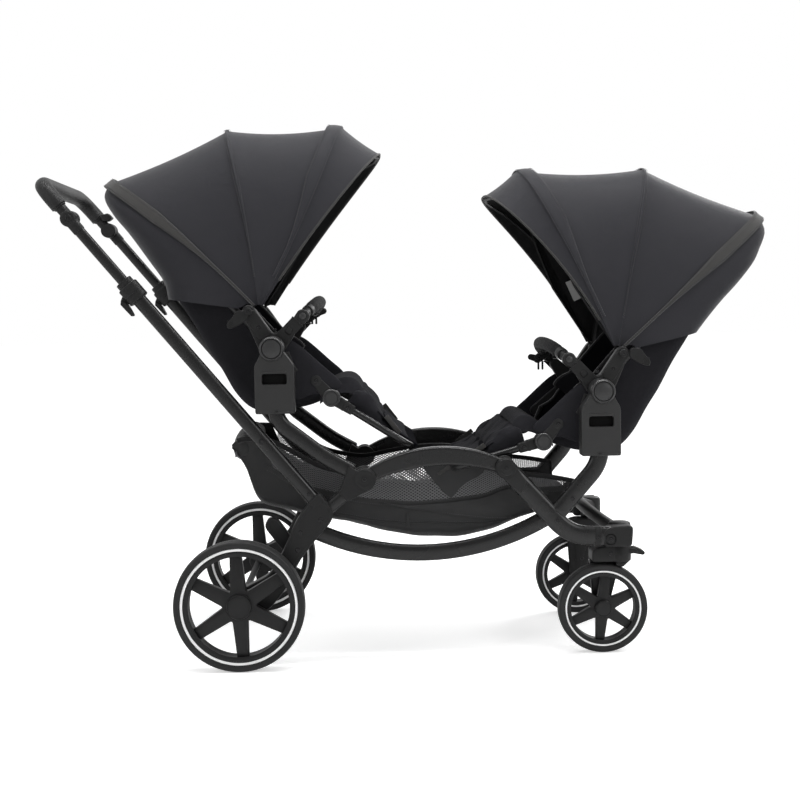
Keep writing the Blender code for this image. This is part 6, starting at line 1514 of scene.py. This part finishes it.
# Leg rests: a bent tube pivots inside each knee joint on a round boss. The calf pad is a filled
# cloth bag, tapered to a black band across the toe end, with a strap of grey tape on each side.
LEG_ANGLES, LEG_LENGTH = {"rear": -32.8, "front": -16.0}, 0.205
CRESTS = {"rear": (0.168, -0.042), "front": (0.16, -0.03)}
for unit, (hub, way) in UNITS.items():
    body = unit + "_leg_rest"
    a = math.radians(LEG_ANGLES[unit])
    along, up = np.array((math.cos(a), math.sin(a))), np.array((-math.sin(a), math.cos(a)))

    def leg_at(points):
        """Places given as (share along the leg rest, height over its tube), put in the side view."""
        points = np.asarray(points, float)
        return facing(unit, np.array(SHIN) + points[:, :1] * LEG_LENGTH * along + points[:, 1:] * up)

    ends = leg_at([(0.0, 0.0), (1.0, 0.0)])
    path = bent([(ends[0][0], -0.2003, ends[0][1]), (ends[1][0], -0.2003, ends[1][1]),
        (ends[1][0], 0.2003, ends[1][1]), (ends[0][0], 0.2003, ends[0][1])], 0.034, 12)
    over = (way * up[0], 0.0, up[1])
    tube = rod(unit + "_leg_tube", path, oval(0.0158, 0.0158, 2.0, 28), painted, across=over)
    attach(tube, body)
    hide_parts(unit + "_leg_rest")
    boss = lathe("boss", [(0.0, -0.2083), (0.0175, -0.2083), (0.0195, -0.2065), (0.0198, -0.205),
        (0.0198, -0.1935), (0.018, -0.1923), (0.0, -0.1923)], facing(unit, SHIN), moulded, 64)
    socket = slab("socket", rounded_loop(leg_at([(0.04, 0.013), (0.04, -0.013), (0.27, -0.0105),
        (0.28, 0.0), (0.27, 0.0105)]), [0.004, 0.004, 0.003, 0.005, 0.003], 5), -0.2088, -0.1918, 0.003,
        moulded, 4)
    step = slab("step", leg_at([(0.15, 0.0122), (0.15, -0.0122), (0.172, -0.0118), (0.172, 0.0118)]),
        -0.2092, -0.1914, 0.0008, moulded)
    fixing = screw(leg_at([(0.205, 0.0)])[0], -0.209, 0.004)
    joints = joined(unit + "_leg_socket", [boss, socket, step, fixing])
    both_sides(joints, body)

    outline = leg_at([(0.146, 0.001), (0.6, 0.0005), (1.0, 0.001), (1.01, 0.008), (0.655, 0.0115),
        (0.55, 0.024), (0.366, 0.0395), (0.2, 0.047), (0.146, 0.042)])
    pad = slab(unit + "_calf_pad", rounded_loop(outline, [0.004, 0.02, 0.003, 0.003, 0.03, 0.02, 0.02,
        0.012, 0.01], 6), -0.186, 0.186, 0.0055, seat_cloth, 4)
    puffed(pad, 0.0062, 0.0058)
    spots = spots_of(pad.data)
    local = (np.stack([(spots[:, 0] - AXLE_X - hub[0]) * way, spots[:, 2] - hub[1]], -1) - SHIN)
    reach, height = local @ along / LEG_LENGTH, local @ up
    fold = (0.0024 * np.sin(26 * reach + 5 * np.sin(17 * spots[:, 1])) * np.sin(np.pi * np.clip(reach, 0,
        1)) - 0.005 * np.exp(-((reach - 0.6) / 0.025) ** 2) - 0.0035
        * np.exp(-((np.abs(spots[:, 1]) - 0.118) / 0.006) ** 2))
    fold = fold * np.clip((height - 0.004) / 0.008, 0, 1)
    spots[:, 0] += way * up[0] * fold
    spots[:, 2] += up[1] * fold
    put_spots(pad.data, spots)
    box_uv(pad)
    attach(pad, body)

    toe = slab(unit + "_toe_band", rounded_loop(leg_at([(0.8, -0.0098), (1.055, -0.0098), (1.062, 0.001),
        (1.055, 0.0112), (0.8, 0.0118)]), 0.005, 5), -0.178, 0.178, 0.003, liner_cloth, 4)
    box_uv(toe)
    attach(toe, body)
    dip = 0.004 * np.sin(np.linspace(0, np.pi, 16))
    edge = leg_at(np.stack([np.linspace(0.5, 1.03, 16), np.linspace(0.027, 0.0075, 16) - dip], -1))
    lower = cloth(unit + "_calf_panel", np.stack([in_plane(edge, y) for y in np.linspace(-0.18, 0.18, 31)],
        1), 0.0016, liner_cloth, liner_cloth, (way * 0.5, 0, 0.85))
    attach(lower, body)
    strap = rod("strap", in_plane(leg_at([(0.6, 0.027), (0.7, 0.0195), (0.82, 0.0105)]), -0.1845),
        oval(0.011, 0.003, 4.0, 20), tape, across=(way * up[0], 0, up[1]), ends=0.0006)
    box_uv(strap)
    both_sides(joined(unit + "_calf_strap", [strap]), body)

    # The cloth between the seat's front edge and the calf pad, sewn to both.
    first = sling(unit, 1.0, np.linspace(-0.6, 0.6, 41), 0.0125)
    last_spot, crest = leg_at([(0.24, 0.05)])[0], facing(unit, CRESTS[unit])
    f = np.linspace(0, 1, 15)[:, None]
    rows = np.tile(first * (1, 1.24, 1), (15, 1, 1))
    for axis, over, end in ((0, crest[0], last_spot[0]), (2, crest[1], last_spot[1])):
        rows[..., axis] = (1 - f) ** 2 * first[:, axis] + 2 * f * (1 - f) * over + f * f * end
    tuck = np.clip((np.abs(np.linspace(-1, 1, 41)) - 0.8) / 0.2, 0, 1) ** 1.5
    rows[..., 2] -= 0.034 * tuck[None]
    flap = cloth(unit + "_knee_flap", rows, 0.0012, seat_cloth, liner_cloth, (way * 0.6, 0, 0.8))
    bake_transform(flap)
    declared(rows)


# Guard bars: a bowed tube in a foam sleeve covered with cloth, seamed along its underside.
# Each end plugs into its bracket with a moulded stem and a spring button.
sleeve_cloth = cloth_of("guard_sleeve_cloth", (0.0085, 0.0085, 0.009), (0.016, 0.016, 0.017), 0.72,
    pitch=0.001, share=0.3, pucker=0.2, sheen=0.05, gloss=0.12)
for unit, (hub, way) in UNITS.items():
    body = unit + "_bumper_bar"
    end = REACH * 0.095
    s = np.linspace(-1, 1, 121)
    push = 0.002 + 0.04 * (1 - np.abs(s) ** 2.6)
    place = facing(unit, end + REACH[None] * push[:, None])
    line = np.stack([place[:, 0], 0.2089 * s, place[:, 1]], -1)
    over = (way * REACH[0], 0.0, REACH[1])
    core = rod("core", line[2:-2], oval(0.0205, 0.0205, 2.0, 24), moulded, across=over)
    collars = [rod("collar", line[k:k + 5], oval(0.0262, 0.0262, 2.2, 28), moulded, across=over,
        ends=0.0012) for k in (7, 109)]
    ends = [slab("end", facing(unit, capsule(REACH * 0.083, end, 0.0255, 0.0295)), low, high, 0.0045,
        moulded, 4) for low, high in ((-0.2214, -0.1966), (0.1966, 0.2214))]
    stems = [slab("stem", facing(unit, [REACH * 0.05 + SIDE * 0.0056, REACH * 0.05 - SIDE * 0.0056,
        REACH * 0.088 - SIDE * 0.0056, REACH * 0.088 + SIDE * 0.0056]), low, high, 0.0012, moulded) for low,
        high in ((-0.214, -0.204), (0.204, 0.214))]
    buttons = [lathe("button", np.array([(0.0, 0.2238), (0.005, 0.2236), (0.0068, 0.2224), (0.007, 0.2205),
        (0.0, 0.2205)]) * (1, side), facing(unit, end), hub_grey, 44) for side in (-1, 1)]
    spot = np.array((0.082, 0.073) if unit == "rear" else (0.085, 0.055))
    far_arm = slab("far_arm", facing(unit, capsule(end, spot, 0.023, 0.0215)), 0.188, 0.1975, 0.003,
        moulded, 4)
    knob = slab("knob", facing(unit, capsule(spot, spot + (0.0165, 0.0045), 0.018, 0.015)), 0.189, 0.196,
        0.003, moulded, 4)
    eyelet = screw(facing(unit, spot), 0.1878, 0.0046)
    pins = [rod("pin", in_plane(facing(unit, [spot + (dx, -0.006), spot + (dx, -0.026)]), 0.1925),
        oval(0.005, 0.005, 2.0, 14), moulded, ends=0.0012) for dx in (-0.012, -0.002)]
    bar = joined(unit + "_guard_bar", [core, *collars, *ends, *stems, *buttons, far_arm, knob, eyelet,
        *pins])
    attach(bar, body)
    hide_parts(unit + "_bumper_bar")
    covered = line[12:-12]
    place = np.arange(len(covered))
    fat = 1 + 0.009 * np.sin(np.linspace(0, 60, len(covered)))
    fat *= np.minimum(1.0, 0.86 + 0.14 * np.minimum(place, place[::-1]) / 5)
    grip_cover = rod(unit + "_guard_sleeve", covered, oval(0.0285, 0.0275, 2.1, 40), sleeve_cloth,
        across=over, scale=np.stack([fat, fat], -1), ends=0.004)
    box_uv(grip_cover)
    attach(grip_cover, body)
    under = np.array((-way * SIDE[0], 0.0, -SIDE[1]))
    seam_line = covered + under * 0.0134
    seam_ridge = rod(unit + "_guard_seam", seam_line, oval(0.0016, 0.0012, 2.0, 10), sleeve_cloth,
        across=over, ends=0.0004)
    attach(seam_ridge, body)
    sewn = stitches(unit + "_guard_stitches", [(seam_line + np.array(over) * k, under) for k in (-0.003,
        0.003)], thread_pale, thick=0.00035)
    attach(sewn, body)


# Canopies: charcoal coated canvas in gores, sewn edge to edge over bows that turn on one pin each
# side, with a panel down the back of the seat, a taped band over the corner and a short visor.
def canopy(unit, forward, pin, apex, tops, sides, back, sags):
    """One canopy as a fan about its pins, given as silhouettes at the middle and angles at the side.

    The whole surface is P(k, t): k runs from the foot of the back panel (-1) over the rear bow (0),
    the middle bow (1) and the front bow (2) to the visor's rim (3), and t runs across from pin to
    pin. Across, it is a superellipse, y = half cos(t)^0.625 and out = sin(t)^0.625 of the distance
    from the pin, squarer down the back; each gore sinks between its bows by its sag times 4 f (1 - f).
    """
    half = 0.1935
    tops = np.asarray(tops, float) - apex
    back = np.asarray(back, float) - apex
    back_run = flow(back, 40)
    angles = np.degrees(np.arctan2(tops[:, 1], tops[:, 0]))
    lean = np.radians(np.asarray(sides, float) - angles)

    def surface(k, t, inset=0.0):
        """The points P(k, t), moved in by inset."""
        k = np.asarray(k, float)[:, None]
        t = np.asarray(t, float)[None, :]
        fan = np.clip(k, 0.0, 3.0)
        i = np.minimum(fan.astype(int), 2)
        f = fan - i
        top = tops[i] * (1 - f)[..., None] + tops[i + 1] * f[..., None]
        sag = np.asarray(sags)[i] * 4 * f * (1 - f)
        shift = lean[i] * (1 - f) + lean[i + 1] * f
        behind = np.clip(-k, 0.0, 1.0) * (len(back_run) - 1)
        lower = np.stack([np.interp(behind, np.arange(len(back_run)), back_run[:, c]) for c in range(2)],
            -1)
        top = np.where((k < 0)[..., None], lower, top)
        shift = np.where(k < 0, lean[0] * (1 + k), shift)
        radius = np.hypot(top[..., 0], top[..., 1]) - sag
        power = 0.625 - 0.339 * np.clip(-k, 0.0, 1.0)
        c = np.sign(np.cos(t)) * np.abs(np.cos(t)) ** power
        out = np.abs(np.sin(t)) ** power
        angle = np.arctan2(top[..., 1], top[..., 0]) + shift * (1 - out)
        reach = radius * out - inset * out
        y = (half - 0.35 * sag - inset) * c
        x = apex[0] + reach * np.cos(angle)
        z = apex[1] + reach * np.sin(angle)
        return np.stack([pin[0] + forward * x, np.broadcast_to(-y, x.shape), pin[1] + z], -1)

    count = 97
    t, clear = (np.linspace(start, np.pi - start, count) for start in (0.004, 0.055))
    t, clear = t + 0.1 * np.sin(2 * t), clear + 0.1 * np.sin(2 * clear)
    upward = (0.0, 0.0, 1.0)
    seat, middle, front = (unit + "_" + tail for tail in ("seat", "canopy_mid", "canopy_front"))
    fabric = unit + "_canopy_fabric"

    made = []
    k = np.linspace(-1.0, 0.0, 26)
    grid = surface(k, t, inset=0.0012)
    lower = cloth(unit + "_canopy_back", grid, 0.0011, canvas, lining, (-forward, 0, -0.3))
    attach(lower, seat)
    declared(grid)
    made.append(lower)
    for start, tail, a, b, inset in ((0, "rear_gore", seat, middle, 0.0024), (1, "front_gore", middle,
            front, 0.0012)):
        k = np.linspace(start, start + 1, 25)
        grid = surface(k, t, inset=inset)
        gore = cloth(unit + "_canopy_" + tail, grid, 0.0011, canvas, lining, upward)
        ray = tops[start] / np.linalg.norm(tops[start])
        ahead = np.array([ray[1], -ray[0]])
        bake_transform(gore)
        declared(grid)
        made.append(gore)
        if tail == "front_gore" and unit == "front":
            label = slab("front_care_label", rounded_loop([(0.768, 0.82), (0.788, 0.827), (0.81, 0.783),
                (0.789, 0.773)], 0.0015, 4), 0.1735, 0.1745, 0.0003, label_white, 2)
            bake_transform(label)
    grid = surface(np.linspace(2.0, 3.0, 13), t)
    visor = cloth(unit + "_canopy_visor", grid, 0.0016, canvas, lining, upward)
    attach(visor, front)
    declared(grid)
    made.append(visor)
    for piece in made:
        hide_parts(fabric)

    spread = np.linspace(0, 1, 9)
    hump = np.sin(np.pi * spread) ** 0.35
    place = np.arange(count)
    taper = np.clip(np.minimum(place, place[::-1]) / 14, 0.25, 1)[:, None]
    seams = []
    for k, tail, look, body, offsets, lifts, spots, high in ((0.0, "band", tape, seat,
            0.014 - 0.028 * spread, 0.0012 + 0.0018 * hump, (0.0118, 0.0085, -0.0085, -0.0118), 0.003),
            (1.0, "seam", canvas, middle, 0.0035 - 0.007 * spread, 0.0006 + 0.0016 * hump,
            (0.0052, -0.0052), 0.001), (2.0, "channel", canvas, front, 0.003 - 0.033 * spread,
            0.0008 + 0.003 * hump, (0.0008, -0.027, -0.0292), 0.0028)):
        base, ahead, behind = (surface([at], clear if k else t)[0] for at in (k, k + 0.02, k - 0.02))
        run = np.gradient(base, axis=0)
        n = np.cross(run, ahead - behind)
        n /= np.linalg.norm(n, axis=1, keepdims=True) * np.sign(n[count // 2, 2])
        ahead = np.cross(n, run)
        ahead /= np.linalg.norm(ahead, axis=1, keepdims=True) * np.sign(ahead[count // 2, 0] * forward)
        ahead *= taper
        rows = np.stack([base + ahead * offset + n * lift for offset, lift in zip(offsets, lifts)])
        piece = cloth(unit + "_canopy_" + tail, rows, 0.0012, look, lining, upward)
        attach(piece, body)
        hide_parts(fabric)
        seams.append((tail, body, [(base + ahead * spot + n * high, n) for spot in spots]))
    for tail, body, rows in seams:
        sewn = stitches(unit + "_canopy_" + tail + "_stitches", rows, thread_pale)
        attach(sewn, body)
    rim = surface([3.0], clear)[0]
    binding = rod(unit + "_canopy_binding", rim, oval(0.0042, 0.0056, 2.4, 16), tape,
        across=(0.0, 0.35, 1.0), ends=0.001)
    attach(binding, front)
    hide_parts(fabric)


label_white = finish_of("label_satin", (0.55, 0.55, 0.54), 0.6, scale=1500.0, depth=0.3, dust=0.05)
canopy("rear", forward=1, pin=(0.028, 0.763), apex=(0.02, 0.0), tops=[(-0.3215, 0.2946), (-0.0531, 0.4086),
    (0.2057, 0.4126), (0.29, 0.3506)], sides=(131.5, 95.0, 61.0, 56.5), back=[(-0.3215, 0.2946),
    (-0.332, 0.262), (-0.31, 0.221), (-0.274, 0.178), (-0.23, 0.117), (-0.197, 0.07), (-0.186, 0.03)],
    sags=(0.006, 0.01, 0.003))
canopy("front", forward=-1, pin=(0.835, 0.659), apex=(0.006, 0.0), tops=[(-0.343, 0.3035),
    (-0.0801, 0.4123), (0.2057, 0.4126), (0.279, 0.357)], sides=(137.0, 99.0, 67.0, 63.5),
    back=[(-0.343, 0.3035), (-0.356, 0.27), (-0.341, 0.23), (-0.324, 0.199), (-0.287, 0.155),
    (-0.25, 0.118), (-0.214, 0.078), (-0.184, 0.042)], sags=(0.006, 0.01, 0.003))

# The axle bar and the wires of the canopy bows keep the meshes of their solids, in the same black.
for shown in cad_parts.values():
    if not shown.hide_render:
        shown.data.materials.clear()
        shown.data.materials.append(moulded)
